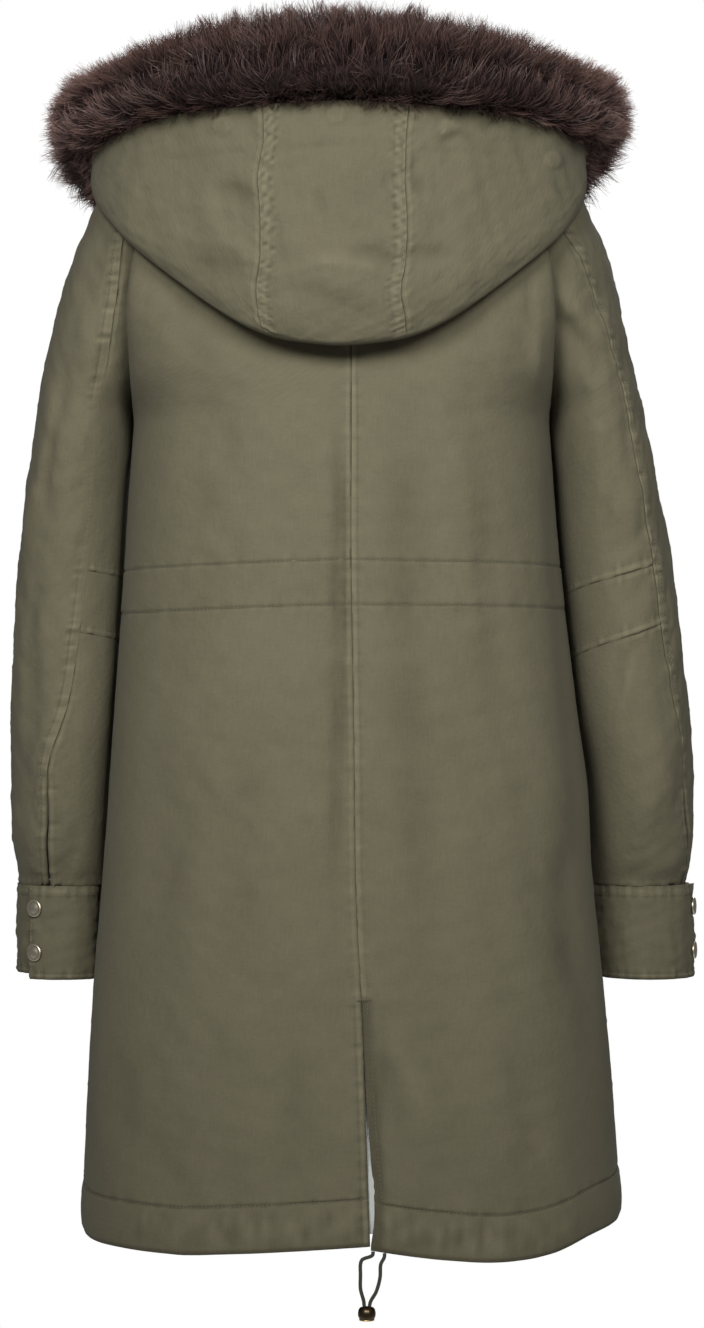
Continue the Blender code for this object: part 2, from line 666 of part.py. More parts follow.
def placket_grid(heights, offsets):
    """Points of the front at some distances from its centre line."""
    rows = []
    for height in heights:
        row = body_row("front", height)
        run = along(row)
        line = np.stack([np.interp(run[-1] / 2 + offsets, run, row[:, i]) for i in range(3)], -1)
        line[:, 2] += hem_drop("front", "left", 0.0, height)
        rows.append(line)
    grid = np.array(rows)
    puff = fold_depth("front", 0 * grid[..., 0], np.array(heights, float)[:, None])
    return grid + normals(grid, -1) * puff[..., None]


def build_placket(cloth, metal):
    offsets = np.linspace(-PLACKET_WIDTH / 2, PLACKET_WIDTH / 2, 5)
    grid = placket_grid(PLACKET_HEIGHTS, offsets)
    wall("placket", grid, -1, PLACKET_CLOTH, cloth, lift=PLACKET_CLOTH + LIES_OVER)
    for number, height in enumerate(PLACKET_SNAPS, 1):
        spots = placket_grid((height - 1, height, height + 1), np.array([-1.0, 0.0, 1.0]))
        out = normals(spots, -1)[1, 1]
        base = spots[1, 1] + out * (PLACKET_CLOTH + 2 * LIES_OVER - SET_IN)
        snap(f"front_snap_{number}", base, out, metal)


def sleeve_rows(arm):
    """The sleeve's rows as heights at the back seam and at the underarm, with the row numbers
    of the two elbow seams."""
    (lower, lower_drop), (upper, upper_drop) = ELBOW[arm]
    at_back = np.array((CUFF_SEAM, lower, upper, UNDERARM))
    drops = np.array((0, lower_drop, upper_drop, 0))
    ends = np.stack([at_back, at_back - drops], -1)
    parts = []
    for number, shares in enumerate((LOWER_SHARES, ELBOW_SHARES, UPPER_SHARES)):
        steps = np.array(shares if number == 0 else shares[1:])[:, None]
        parts.append(ends[number] + (ends[number + 1] - ends[number]) * steps)
    parts.append(np.array([(height, height) for height in YOKE_HEIGHTS]))
    lower_seam = len(LOWER_SHARES) - 1
    return np.concatenate(parts), lower_seam, lower_seam + len(ELBOW_SHARES) - 1


def slit(arm, height):
    """Half the gap at the back seam: wider where the slit is open."""
    return SEAM_TRIM + SLIT_OPEN[arm] / 2 * (1 - ramp(height, SLIT_TOP - 60, SLIT_TOP))


def top_sleeve(arm, rows, columns):
    """The large piece, from the back seam round the outside and the front to the underarm."""
    share = np.linspace(0, 1, columns + 1)
    heights = rows[:, :1] + (rows[:, 1:] - rows[:, :1]) * share
    reach, seam = sleeve_reach(heights), sleeve_seam(arm, heights)
    first = seam + degrees_for(arm, heights, seam, slit(arm, heights))
    last = reach - degrees_for(arm, heights, reach - 1, UNDERARM_TRIM)
    return sleeve_surface(arm, heights, first + (last - first) * share)


def under_sleeve(arm, rows, columns):
    """A back piece of the sleeve, from the underarm or the raglan seam to the back seam."""
    share = np.linspace(0, 1, columns + 1)
    heights = rows[:, 1:] + (rows[:, :1] - rows[:, 1:]) * share
    reach, seam = sleeve_reach(heights), sleeve_seam(arm, heights)
    first = -reach + degrees_for(arm, heights, 1 - reach, UNDERARM_TRIM)
    last = seam - degrees_for(arm, heights, seam, slit(arm, heights))
    return sleeve_surface(arm, heights, first + (last - first) * share)


def build_sleeve(arm, cloth):
    rows, lower, upper = sleeve_rows(arm)
    sign = sign_of(arm)

    def between(first, last):
        cut = rows[first : last + 1].copy()
        cut[0] += SEAM_TRIM
        cut[-1] -= SEAM_TRIM
        return cut

    end = len(rows) - 1
    wall(f"sleeve_top_{arm}", top_sleeve(arm, between(0, end), TOP_SLEEVE_COLUMNS), sign, CLOTH, cloth)
    for part, first, last in (("lower", 0, lower), ("elbow", lower, upper), ("upper", upper, end)):
        grid = under_sleeve(arm, between(first, last), UNDER_SLEEVE_COLUMNS)
        wall(f"sleeve_{part}_{arm}", grid, sign, CLOTH, cloth)


def cuff_grid(arm, rows, columns):
    """The cuff's outer surface, which steps out as it runs over its own beginning."""
    start = CUFF_MIDDLE[arm] - CUFF_OVERLAP
    sweep = np.linspace(0, 360 + 2 * CUFF_OVERLAP, columns + 1)[None, :]
    over = ramp(sweep, 2 * CUFF_OVERLAP, 360.0)
    foot = CUFF_FOOT + CUFF_LIFT * (1 - over)
    heights = foot + (CUFF_SEAM - SEAM_TRIM - foot) * np.linspace(0, 1, rows + 1)[:, None]
    straight = CUFF_FOOT + (heights - CUFF_FOOT) * CUFF_TAPER
    grid = sleeve_surface(arm, straight, start + sweep, CUFF_STEP * (over + 0 * heights))
    grid[..., 2] = heights
    return grid


def build_cuff(arm, cloth, metal):
    sign = sign_of(arm)
    wall(f"cuff_{arm}", cuff_grid(arm, CUFF_ROWS, CUFF_COLUMNS), sign, CUFF_CLOTH, cloth)
    fine = cuff_grid(arm, 76, 400)
    u = round(400 * (360 + CUFF_OVERLAP + SNAP_TURN) / (360 + 2 * CUFF_OVERLAP))
    for number, height in enumerate(SNAP_HEIGHTS, 1):
        v = round(76 * (height - CUFF_FOOT) / (CUFF_SEAM - CUFF_FOOT))
        face = np.cross(fine[v, u + 8] - fine[v, u - 8], fine[v + 7, u] - fine[v - 7, u]) * sign
        face /= np.linalg.norm(face)
        snap(f"cuff_snap_{arm}_{number}", fine[v, u] + face * CUFF_SNAP_LIFT, face, metal)


def build_hood(cloth):
    def beside(side, way):
        """The angle just beside a centre panel seam."""

        def angle(down):
            turn = hood_seam(side, down)
            r = np.linalg.norm(hood_plain(0.0 * down, down)[..., :2] - (0, NECK_AXIS_Y), axis=-1)
            return turn + way * np.degrees(SEAM_TRIM / r)

        return angle

    def end(value):
        return lambda down: value + 0 * down

    turns = np.array(HOOD_SIDE_TURNS, float)
    side = (turns - turns[0]) / (turns[-1] - turns[0])
    centre = np.linspace(0, 1, HOOD_CENTRE_COLUMNS + 1)
    panels = (
        ("left", end(-HOOD_END), beside(-1, -1), 1 - side[::-1]),
        ("centre", beside(-1, 1), beside(1, -1), centre),
        ("right", beside(1, 1), end(HOOD_END), side),
    )
    for word, first, last, shares in panels:
        wall("hood_" + word, hood_grid(first, last, HOOD_ROWS, shares), 1, CLOTH, cloth)


def build_fur(pile):
    turns = np.linspace(-HOOD_END, HOOD_END, FUR_SECTIONS + 1)[:, None]
    spins = (np.arange(FUR_SIDES) * 2 * math.pi / FUR_SIDES)[None, :]
    points = fur_surface(turns, spins).reshape(-1, 3)
    last = FUR_SECTIONS * FUR_SIDES
    faces = [tuple(range(FUR_SIDES)), tuple(last + i for i in reversed(range(FUR_SIDES)))]
    for low in range(0, last, FUR_SIDES):
        for i in range(FUR_SIDES):
            j = (i + 1) % FUR_SIDES
            high = low + FUR_SIDES
            faces.append((low + i, high + i, high + j, low + j))
    add_object("fur_trim", points, faces, pile)


def hem_exit(distance):
    """A point just under the right tail's hem, in the middle of its cloth."""
    heights = (HEM, HEM + 4, HEM + 8)
    shares = np.linspace(0, 1, 201)
    grid = body_panel("back", "right", heights, shares, lambda height: float(Row(VENT, height).open))
    out = normals(grid, 1)
    run = along(grid[0])
    centre = grid[0] - out[0] * (SET_IN + CLOTH / 2)
    spot = np.array([np.interp(distance, run, centre[:, i]) for i in range(3)])
    return spot - (0, 0, CORD_GAP)


def strand(name, points, finish):
    """A cord along a smooth curve through its points."""
    points = np.array(points, float)
    run = along(points)
    path = smooth(np.linspace(0, run[-1], STRAND_POINTS), run, points) * MM
    curve = bpy.data.curves.new(name, "CURVE")
    curve.dimensions = "3D"
    curve.bevel_depth = CORD_RADIUS * MM
    curve.bevel_resolution = 2
    curve.use_fill_caps = True
    line = curve.splines.new("POLY")
    line.points.add(len(path) - 1)
    for spot, place in zip(line.points, path):
        spot.co = (*place, 1.0)
    curve.materials.append(finish)
    made = bpy.data.objects.new(name, curve)
    bpy.context.scene.collection.objects.link(made)


def build_drawcord(cord, metal):
    strands = (("cord_left", STRAND_LEFT), ("cord_right", STRAND_RIGHT))
    for (name, table), distance in zip(strands, CORD_EXITS):
        leaves = hem_exit(distance)
        hangs = [(x, CORD_Y, z) for x, z in table[1:]]
        strand(name, (leaves, leaves - (0, 0, 2 * CORD_RADIUS), *hangs), cord)
    r, h = BEAD_RADIUS, BEAD_HEIGHT
    outline = [(r * across, h * up) for across, up in BEAD_SHAPE]
    turned("cord_end", outline, np.array(BEAD_TOP) - (0, 0, h), (0, 0, 1), metal, BEAD_SIDES)


def main():
    for old in list(bpy.data.objects):
        bpy.data.objects.remove(old)
    cloth = material("olive_cotton", OLIVE, 0.9)
    pile = material("brown_fur", FUR_BROWN, 0.85)
    gold = material("pale_gold", PALE_GOLD, 0.3, 1.0)
    bronze = material("bronze", BRONZE, 0.35, 1.0)
    cord = material("cord_green", CORD_GREEN, 0.8)
    build_body(cloth)
    build_placket(cloth, gold)
    for arm in ("left", "right"):
        build_sleeve(arm, cloth)
        build_cuff(arm, cloth, gold)
    build_hood(cloth)
    build_fur(pile)
    build_drawcord(cord, bronze)


main()
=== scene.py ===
# %% [markdown]
# # A fur trimmed parka
# This lesson dresses a knee-length parka that hangs as if someone wore it: washed cotton canvas,
# a hood thrown back on the shoulders, a thick pile trim round the hood's opening, snaps, a vent
# and a hem drawcord. The solids of the parka come packed, one plain wall for each piece of cloth.
# They say where everything is, and nothing here moves them. We build the fine surfaces on top:
# thin cloth with seams and creases, stitches, hairs and metal. Lengths in the tables are
# millimetres, the scene is in metres, +X is the wearer's right, +Y the way the wearer faces.

# %% Load the solids
import math

import bpy
import numpy as np
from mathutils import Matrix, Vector
from mathutils.bvhtree import BVHTree
from mathutils.kdtree import KDTree


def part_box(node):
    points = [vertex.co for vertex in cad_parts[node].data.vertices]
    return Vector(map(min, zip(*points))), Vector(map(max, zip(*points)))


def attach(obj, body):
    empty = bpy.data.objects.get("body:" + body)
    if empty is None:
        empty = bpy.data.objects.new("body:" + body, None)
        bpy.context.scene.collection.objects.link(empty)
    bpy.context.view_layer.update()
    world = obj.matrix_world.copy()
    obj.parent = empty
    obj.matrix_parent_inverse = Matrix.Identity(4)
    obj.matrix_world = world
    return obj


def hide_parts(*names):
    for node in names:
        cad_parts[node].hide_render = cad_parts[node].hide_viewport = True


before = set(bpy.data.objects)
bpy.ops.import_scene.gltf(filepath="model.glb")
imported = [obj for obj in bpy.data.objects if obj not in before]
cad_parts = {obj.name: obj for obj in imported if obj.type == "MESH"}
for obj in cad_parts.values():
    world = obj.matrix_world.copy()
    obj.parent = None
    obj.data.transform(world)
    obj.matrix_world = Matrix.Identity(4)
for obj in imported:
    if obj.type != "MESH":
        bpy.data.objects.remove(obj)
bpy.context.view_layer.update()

MM = 0.001

# %% [markdown]
# ## The camera
# A garment is usually shown with a long lens from far away, level with its middle, so that
# nothing looks tapered. The picture is 704 wide and 1328 high. Blender measures the lens across
# the longer side, so the focal length follows from how many picture points one metre takes up at
# one metre's distance.

# %% Camera
PICTURE = (704, 1328)
POINTS_PER_METRE = 3936.0  # at one metre from the lens
CAMERA_AT = (0.0084, -3.15, -0.426)
SENSOR = 36.0

camera_data = bpy.data.cameras.new("camera")
camera_data.sensor_width = SENSOR
camera_data.lens = POINTS_PER_METRE / max(PICTURE) * SENSOR
camera = bpy.data.objects.new("camera", camera_data)
camera.location = CAMERA_AT
camera.rotation_euler = (math.radians(90), 0, 0)
bpy.context.scene.collection.objects.link(camera)
bpy.context.scene.camera = camera
print("lens:", round(camera_data.lens, 1), "mm")

# %% [markdown]
# ## Shader arithmetic
# A finish is a small network of nodes. Written node by node it is hard to read, so two small
# classes help. The first one, `Wire`, wraps a node's output and overloads the arithmetic, so that
# `1 - wear * 0.3` adds its own Math nodes.

# %% Wires
class Wire:
    """A node's output that can take part in arithmetic."""

    def __init__(self, finish, socket):
        self.finish, self.socket = finish, socket

    def math(self, operation, *values):
        return self.finish.node("Math", {"operation": operation}, dict(enumerate(values)))

    def __add__(self, other):
        return self.math("ADD", self, other)

    def __radd__(self, other):
        return self.math("ADD", other, self)

    def __sub__(self, other):
        return self.math("SUBTRACT", self, other)

    def __rsub__(self, other):
        return self.math("SUBTRACT", other, self)

    def __mul__(self, other):
        return self.math("MULTIPLY", self, other)

    def __rmul__(self, other):
        return self.math("MULTIPLY", other, self)

    def __pow__(self, other):
        return self.math("POWER", self, other)


print("wires can be added, subtracted, multiplied and raised to a power")

# %% [markdown]
# ## Finishes
# A `Finish` is a material. Its `node` adds any node: its kind, its settings, then the values or
# wires of its sockets. The shorter methods under it are the few things that most finishes need.
# Noise gets its size in metres, because everything here has a real size.

# %% Finishes
def socket_name(word):
    """The name of a shader's socket from a keyword: base_color is Base Color."""
    return word.replace("_", " ").title().replace("Ior", "IOR")


class Finish:
    """A material with its network of nodes."""

    def __init__(self, name, **constants):
        self.material = bpy.data.materials.new(name)
        self.material.use_nodes = True
        self.tree = self.material.node_tree
        self.shader = self.tree.nodes["Principled BSDF"]
        for socket, value in constants.items():
            self.shader.inputs[socket_name(socket)].default_value = value

    def node(self, kind, settings=None, sockets=None, out=0):
        made = self.tree.nodes.new("ShaderNode" + kind)
        for key, value in (settings or {}).items():
            if key == "stops":
                ramp_stops = made.color_ramp.elements
                for i, (place, colour) in enumerate(value):
                    stop = ramp_stops[i] if i < 2 else ramp_stops.new(place)
                    stop.position, stop.color = place, (*colour, 1.0)
            else:
                setattr(made, key, value)
        for key, value in (sockets or {}).items():
            self.feed(made.inputs[key], value)
        return Wire(self, made.outputs[out])

    def feed(self, socket, value):
        if isinstance(value, Wire):
            self.tree.links.new(value.socket, socket)
        else:
            socket.default_value = value

    def surface(self, **wires):
        for socket, value in wires.items():
            self.feed(self.shader.inputs[socket_name(socket)], value)
        return self.material

    def noise(self, where, size, stretch=(1, 1, 1), detail=2.0):
        """Noise about size metres across, on a place that is given in metres."""
        scaled = self.node("VectorMath", {"operation": "MULTIPLY"}, {0: where, 1: stretch})
        return self.node("TexNoise", None, {"Vector": scaled, "Scale": 1 / size, "Detail": detail})

    def tinted(self, colour, value):
        """A colour made lighter or darker by a value."""
        return self.node("VectorMath", {"operation": "SCALE"}, {0: colour, "Scale": value})

    def blend(self, share, first, second):
        """A colour between two."""
        sockets = {0: share, 6: first, 7: second}
        return self.node("Mix", {"data_type": "RGBA"}, sockets, out=2)

    def bump(self, height):
        """A relief whose height is given in metres."""
        return self.node("Bump", None, {"Height": height, "Strength": 1.0, "Distance": 1.0})

    def attribute(self, name):
        return self.node("Attribute", {"attribute_name": name}, out=2)


print("finishes are ready to mix")

# %% [markdown]
# ## Washed olive canvas
# The cloth is a medium cotton canvas that was dyed as a made garment and then washed. Up close
# it has warp and weft threads of uneven thickness, so fine streaks run both ways. Washing
# rubs the dye off whatever stands up, such as seam edges and the crests of puckers, and leaves it
# dark in the dips. So the mesh carries a value called wear, and the finish lightens and
# darkens with it. That value also carries painted shade and highlight: the troughs of creases,
# seam dips and stitch grooves are painted darker as shade, and the crests of creases lighter as a
# highlight. The threads themselves are far too fine to model and become a bump.

# %% The cloth's finish
OLIVE_GREEN = (0.157, 0.147, 0.091, 1.0)
OLIVE_BROWN = (0.171, 0.150, 0.097, 1.0)
THREAD_PITCH = 0.00062  # metres from one thread to the next
TURN = 2 * math.pi


def canvas(name, wear_and_shade=1.0, dark=1.0, dyes=(OLIVE_GREEN, OLIVE_BROWN)):
    """Washed canvas; its second argument is how strongly wear and painted shade show, dark scales the whole
    colour.
    """
    finish = Finish(name, roughness=0.88, sheen_weight=0.04, sheen_roughness=0.5, specular_ior_level=0.16)
    where = finish.node("UVMap", {"uv_map": "weave"})
    clouds = finish.noise(where, 0.060, detail=3.0)
    blotch = finish.noise(where, 0.011, detail=3.0)
    warp = finish.noise(where, 0.0011, (1, 0.07, 1))
    weft = finish.noise(where, 0.0010, (0.09, 1, 1))
    grain = finish.noise(where, 0.0016, detail=4.0)
    wear = finish.attribute("wear")
    shade = 0.13 * clouds + 0.09 * blotch + 0.18 * warp + 0.09 * weft + 0.16 * grain + 0.56
    # Wear lightens and darkens the colour, partly as rubbed wear and partly as painted shade and highlight
    # on creases and dips.
    shade = (shade + (wear - 0.5) * (0.62 * wear_and_shade)) * dark
    hue = finish.blend(clouds, *dyes)
    split = finish.node("SeparateXYZ", None, {0: where})
    across, up = split, Wire(finish, split.socket.node.outputs[1])
    pitch = TURN / THREAD_PITCH
    threads = across.math("SINE", across * pitch) * up.math("SINE", up * pitch)
    crinkle = finish.noise(where, 0.0042, detail=3.0)
    height = 0.00004 * threads + 0.00010 * warp + 0.00008 * weft + 0.00045 * crinkle
    return finish.surface(
        base_color=finish.tinted(hue, shade),
        roughness=0.97 - 0.12 * wear,
        normal=finish.bump(height),
    )


cloth_finish = canvas("olive_canvas")
cuff_finish = canvas("olive_canvas_cuff", wear_and_shade=1.15, dark=0.90)
# The hood's canvas is painted 6 percent darker as shade, because it faces up into more of the light.
hood_shaded_finish = canvas("olive_canvas_hood_shaded", dark=0.94)
print("cloth finishes:", cloth_finish.name, cuff_finish.name, hood_shaded_finish.name)

# %% [markdown]
# ## Sewing thread
# The thread is the same olive, a shade lighter and smoother than the canvas. Its twist is a fine,
# uneven bump.

# %% Thread finish
THREAD_OLIVE = (0.172, 0.158, 0.108)


def thread(name):
    finish = Finish(name, roughness=0.7, sheen_weight=0.1)
    where = finish.node("UVMap", {"uv_map": "weave"})
    twist = finish.noise(where, 0.0005)
    shade = 0.86 + 0.22 * twist
    return finish.surface(
        base_color=finish.tinted(THREAD_OLIVE, shade),
        normal=finish.bump(0.00006 * twist),
    )


thread_finish = thread("olive_thread")
print("thread finish:", thread_finish.name)

# %% [markdown]
# ## Pile
# Each hair is painted darkest at its root, a painted shade where little light reaches, and has a
# redder, lighter tip, partly the pile's own colour and partly painted light shining through the
# tips. Hairs also differ from one another at random, and those at the sides of the band are
# painted lighter and greyer as a painted sheen. Two values on the mesh drive this: `along`, from
# root to tip, and a tone, one for each hair. The backing under the hairs is painted nearly black,
# as the shade deep in the pile.

# %% Finishes of the pile
def pile(name, root, belly, tip, pale):
    finish = Finish(name, roughness=0.5, specular_ior_level=0.35)
    along = finish.attribute("along")
    tone_and_sheen = finish.attribute("tone_and_sheen")
    # Painted shade at the root, and partly painted light at the tip.
    colour = finish.node("ValToRGB", {"stops": ((0.0, root), (1.0, tip), (0.55, belly))}, {0: along})
    # Hairs with a higher tone are greyer and lighter; at the band's sides this is a painted sheen.
    greyed = finish.blend(tone_and_sheen**3 * 0.35, colour, (*pale, 1.0))
    return finish.surface(
        base_color=finish.tinted(greyed, 0.5 + 1.7 * tone_and_sheen),
        roughness=0.46 + 0.18 * tone_and_sheen,
    )


# The root colour is painted shade, the tip colour partly painted backlight, and the pale colour a painted
# sheen.
ROOT_SHADE_BROWN, BELLY_BROWN = (0.014, 0.008, 0.008), (0.052, 0.032, 0.029)
TIP_RED_AND_BACKLIT, PALE_SHEEN_HAIR = (0.135, 0.072, 0.058), (0.15, 0.11, 0.10)
# The backing's colour is painted shade, the dark deep in the pile.
BACKING_SHADE_BROWN = (0.016, 0.0105, 0.010)

hair_finish = pile("brown_hair", ROOT_SHADE_BROWN, BELLY_BROWN, TIP_RED_AND_BACKLIT, PALE_SHEEN_HAIR)
backing = Finish("pile_backing", roughness=0.9, specular_ior_level=0.1)
matted = backing.noise(backing.node("TexCoord", out=3), 0.0035, (1, 1, 0.3))
backing_finish = backing.surface(
    base_color=backing.tinted(BACKING_SHADE_BROWN, 0.5 + matted),
    normal=backing.bump(0.0010 * matted),
)
print("pile finishes:", hair_finish.name, backing_finish.name)

# %% [markdown]
# ## Metal and cord
# The snaps are brass with a pale, satin gilding. The cord's end is the same brass under a dark
# patina that has worn off along the lower rim. A metal's colour is its reflection, so both get
# Metallic 1. Where wear is high they take the colour of rubbed metal.

# %% Metal and cord finishes
def metal(name, colour, rubbed, roughness):
    finish = Finish(name, metallic=1.0)
    where = finish.node("TexCoord", out=3)
    cloudy = finish.noise(where, 0.0022, detail=4.0)
    scratches = finish.noise(where, 0.0004, (1, 1, 0.12))
    wear = finish.attribute("wear")
    shade = 0.8 + 0.3 * cloudy
    return finish.surface(
        base_color=finish.tinted(finish.blend(wear, (*colour, 1.0), (*rubbed, 1.0)), shade),
        roughness=roughness + 0.16 * cloudy,
        normal=finish.bump(0.00003 * scratches),
    )


snap_finish = metal("pale_gold_snap", (0.60, 0.50, 0.36), (0.86, 0.78, 0.62), 0.26)
end_finish = metal("bronze_cord_end", (0.035, 0.030, 0.024), (0.72, 0.52, 0.26), 0.24)

BRAID_PITCH = 0.0011  # metres from one strand to the next
BRAID_GREEN = (0.045, 0.045, 0.034)


def braid(name, colour):
    """Braided elastic: strands cross in diamonds, so two slanted waves are multiplied."""
    finish = Finish(name, roughness=0.75, sheen_weight=0.1)
    where = finish.node("UVMap", {"uv_map": "weave"})
    split = finish.node("SeparateXYZ", None, {0: where})
    around, up = split, Wire(finish, split.socket.node.outputs[1])
    one = around.math("SINE", (around + up) * (TURN / BRAID_PITCH))
    other = around.math("SINE", (around - up) * (TURN / BRAID_PITCH))
    weave = one * other
    return finish.surface(
        base_color=finish.tinted(colour, 1.0 + 0.35 * weave),
        normal=finish.bump(0.00008 * weave),
    )


cord_finish = braid("green_braid", BRAID_GREEN)
print("metal and cord finishes:", snap_finish.name, end_finish.name, cord_finish.name)

# %% [markdown]
# ## How the body is cut
# The garment's form is worked out from a few driving sizes, the same ones that the solids
# were made from, so that what we build lies on them. Only the hem's line has finer steps here than
# there. A table has a row for each section, and its
# first entry names the columns. The torso is a stack of rings that are fuller than an ellipse. The
# yoke above the underarm is a stack of rows that end on the raglan seams, so each row has its own
# depth and height at the back and at the front.

# %% Sizes of the body
SET_IN = 0.2  # the cloth starts this far inside the nominal surface
EDGE_GAP = 0.05  # and stops this far from a seam line
LIES_OVER = 0.6  # clear space under a piece that lies on another
CLOTH = 2.0
HEM, HEM_STITCH = -870.0, -834.0
UNDERARM, NECK = -235.0, 75.0

TORSO = (
    "z  half side_y back_y front_y fullness sway seam",
    (-870, 216, 15, -170, 150, 2.4, 8.0, 14.3),
    (-760, 210, 16, -163, 145, 2.4, 6.5, 12.0),
    (-690, 205, 17, -157, 140, 2.45, 5.5, 10.3),
    (-580, 195, 19, -150, 133, 2.5, 4.5, 6.5),
    (-456, 185, 21, -142, 126, 2.5, 3.0, 6.5),
    (-365, 176.5, 22, -138, 121, 2.5, 1.0, 7.0),
    (-290, 171, 24, -139, 122, 2.5, 0.0, 7.8),
    (-235, 167, 25, -140, 125, 2.5, 0.0, 8.0),
)
YOKE = (
    "height back_y back_z back_wrap front_y front_z front_wrap fullness seam",
    (-235, -140, -235, 90, 125, -235, 90, 2.5, 8.0),
    (-196, -140, -192, 96, 124, -207, 96, 2.45, 8.0),
    (-148, -138, -143, 106, 121, -173, 102, 2.3, 7.0),
    (-91, -130, -90, 110, 116, -142, 98, 2.15, 5.0),
    (-17, -110, -42, 92, 107, -112, 80, 2.0, 3.0),
    (75, -76, 0, 66, 92, -85, 64, 2.0, 0.0),
)
print("rings of the torso:", len(TORSO) - 1, "rows of the yoke:", len(YOKE) - 1)

# %% [markdown]
# ## How the sleeves are cut
# A section of a raglan sleeve is given by its outermost and its innermost point, its depth, and how
# far round it the raglan seam lies (`reach`, in degrees). The two sleeves hang and twist
# differently, so some columns come twice. Each has a slit above the cuff, and two elbow seams that
# fall by some amount on their way from the back seam to the underarm.

# %% Sizes of the sleeves
CUFF_SEAM, CUFF_FOOT = -605.0, -681.0
SLIT_TOP = -512.0
SLIT_OPEN = {"left": 1.4, "right": 2.6}
ELBOW = {"left": ((-401.0, 10.0), (-352.0, 8.0)), "right": ((-394.0, 34.0), (-347.0, 29.0))}

SLEEVE = (
    "height out_left out_right out_y out_z in_left in_right in_y in_z reach deep tip seam_left seam_right",
    (-681, 271.5, 280, 74, -681, 190, 199, 74, -681, 180, 46, 0, -70, -22),
    (-645, 270.5, 279, 73, -645, 190, 199, 73, -645, 180, 47, 0, -70, -22),
    (-605, 268.5, 276, 72, -605, 188, 197, 72, -605, 180, 50, 0, -72, -24),
    (-590, 271, 280, 71, -590, 187, 196, 71, -590, 180, 60, 0, -74, -28),
    (-560, 274, 282.5, 68, -560, 186, 195, 68, -560, 180, 71, 0, -77, -36),
    (-510, 274, 282.5, 62, -510, 184, 193, 62, -510, 180, 77, 0, -79, -39),
    (-456, 271, 278.5, 55, -456, 177, 182, 58, -456, 180, 77, 0, -95, -47),
    (-400, 268, 273, 48, -400, 174, 178, 54, -400, 180, 76, 0, -104, -53),
    (-352, 263.5, 267.5, 42, -352, 171, 174, 50, -352, 180, 76, 0, -109, -54),
    (-290, 255, 256.5, 32, -290, 169, 170, 40, -290, 180, 77, 0, -117, -53),
    (-235, 247, 245, 25, -235, 167, 167, 25, -235, 180, 78, 0, -116, -54),
    (-196, 240.5, 236, 20, -197, 166, 166, 18, -200, 138, 80, 0, -107, -55),
    (-148, 229.5, 225, 13, -150, 161, 161, 10, -150, 107, 90, 2, -90, -56),
    (-91, 211, 210, 6, -95, 146, 146, 3, -97, 92, 102, 5, -73, -64),
    (-17, 172, 172, -1, -30, 112, 112, -5, -52, 82, 97, 10, -62, -66),
    (75, 86, 86, -6, 8, 54, 54, -8, -16, 70, 62, 20, -45, -45),
)
print("sections of a sleeve:", len(SLEEVE) - 1)

# %% [markdown]
# ## How the hood and its trim lie
# Both run round the neck, from 0 degrees at the nape to almost 180 on each side, so their sections
# are listed by that angle. The fur is a thick band: its middle's radius and height, and how far it
# reaches up, down and sideways. The hood's section goes from the neckline over a rim, down behind
# it to a fold, and up to the fur. Both hang a little differently on the two sides.

# %% Sizes of the hood and the trim
FUR = (
    "turn middle_r middle_z wide up down lean left_hangs right_up right_in",
    (0, 186, 33, 37, 37, 35, 3, 0, 0, 0),
    (24, 187, 30, 37, 37, 35, 3, 0, 0, 0),
    (44, 191, 25, 37, 34, 33, 3, 0, 0, 0),
    (60, 198, 18, 37, 31, 34, 2, 0, 1, 1),
    (74, 204, 10, 36, 32, 31, -2, 2, 3, 3),
    (88, 205, 0, 35, 36, 31, -8, 5, 5, 4),
    (100, 203, -12, 35, 37, 30, -15, 6, 5, 4),
    (112, 200, -24, 35, 36, 30, -22, 6, 4, 3),
    (134, 180, -45, 33, 34, 27, -27, 3, 2, 2),
    (156, 158, -72, 30, 31, 27, -26, 0, 0, 0),
    (175, 146, -92, 27, 28, 26, -25, 0, 0, 0),
)
HOOD = (
    "turn rim_r rim_z down_r down_z fold_r fold_z fold_w right_in",
    (0, 97, 17, 146, -62, 164, -184, 15, 0),
    (24, 100, 16, 148, -60, 168, -169, 15, 0),
    (44, 106, 14, 156, -48, 181, -130, 14, 0),
    (55, 110, 13, 162, -38, 194, -102, 12, 0),
    (66, 114, 13, 165, -28, 195, -79, 11, 2),
    (77, 116, 12, 164, -20, 190, -61, 10, 4),
    (88, 116, 10, 158, -10, 184, -48, 9, 6),
    (100, 110, 4, 142, -12, 168, -38, 7, 4),
    (112, 104, -6, 132, -18, 156, -36, 6, 0),
    (134, 98, -30, 114, -36, 132, -48, 5, 0),
    (156, 98, -58, 107, -63, 118, -74, 4, 0),
    (175, 99, -76, 103, -80, 110, -90, 4, 0),
)
HOOD_END = 174.0
HOOD_ROUND = 6.0  # degrees over which the two halves run into each other at the middle
HOOD_SEAM_LEFT, HOOD_SEAM_RIGHT, HOOD_SEAM_NECK = 60.0, 48.0, 36.0
HOOD_KNOTS = (0, 0.10, 0.30, 0.49, 0.55, 1.0)
NECK_AXIS_Y = -5.0
NECK_GAP = 0.2
print("sections of the fur:", len(FUR) - 1, "and of the hood:", len(HOOD) - 1)

# %% [markdown]
# ## Vent, hem and largest folds
# The vent's two edges part towards the hem. The hem isn't level: a table says how far it rises or
# drops from the centre seam (share 0) to the side seam (share 1), and the effect fades out
# upwards. The folds run down the body; each has a place across, a half width and a depth, and a
# negative depth is a trough.

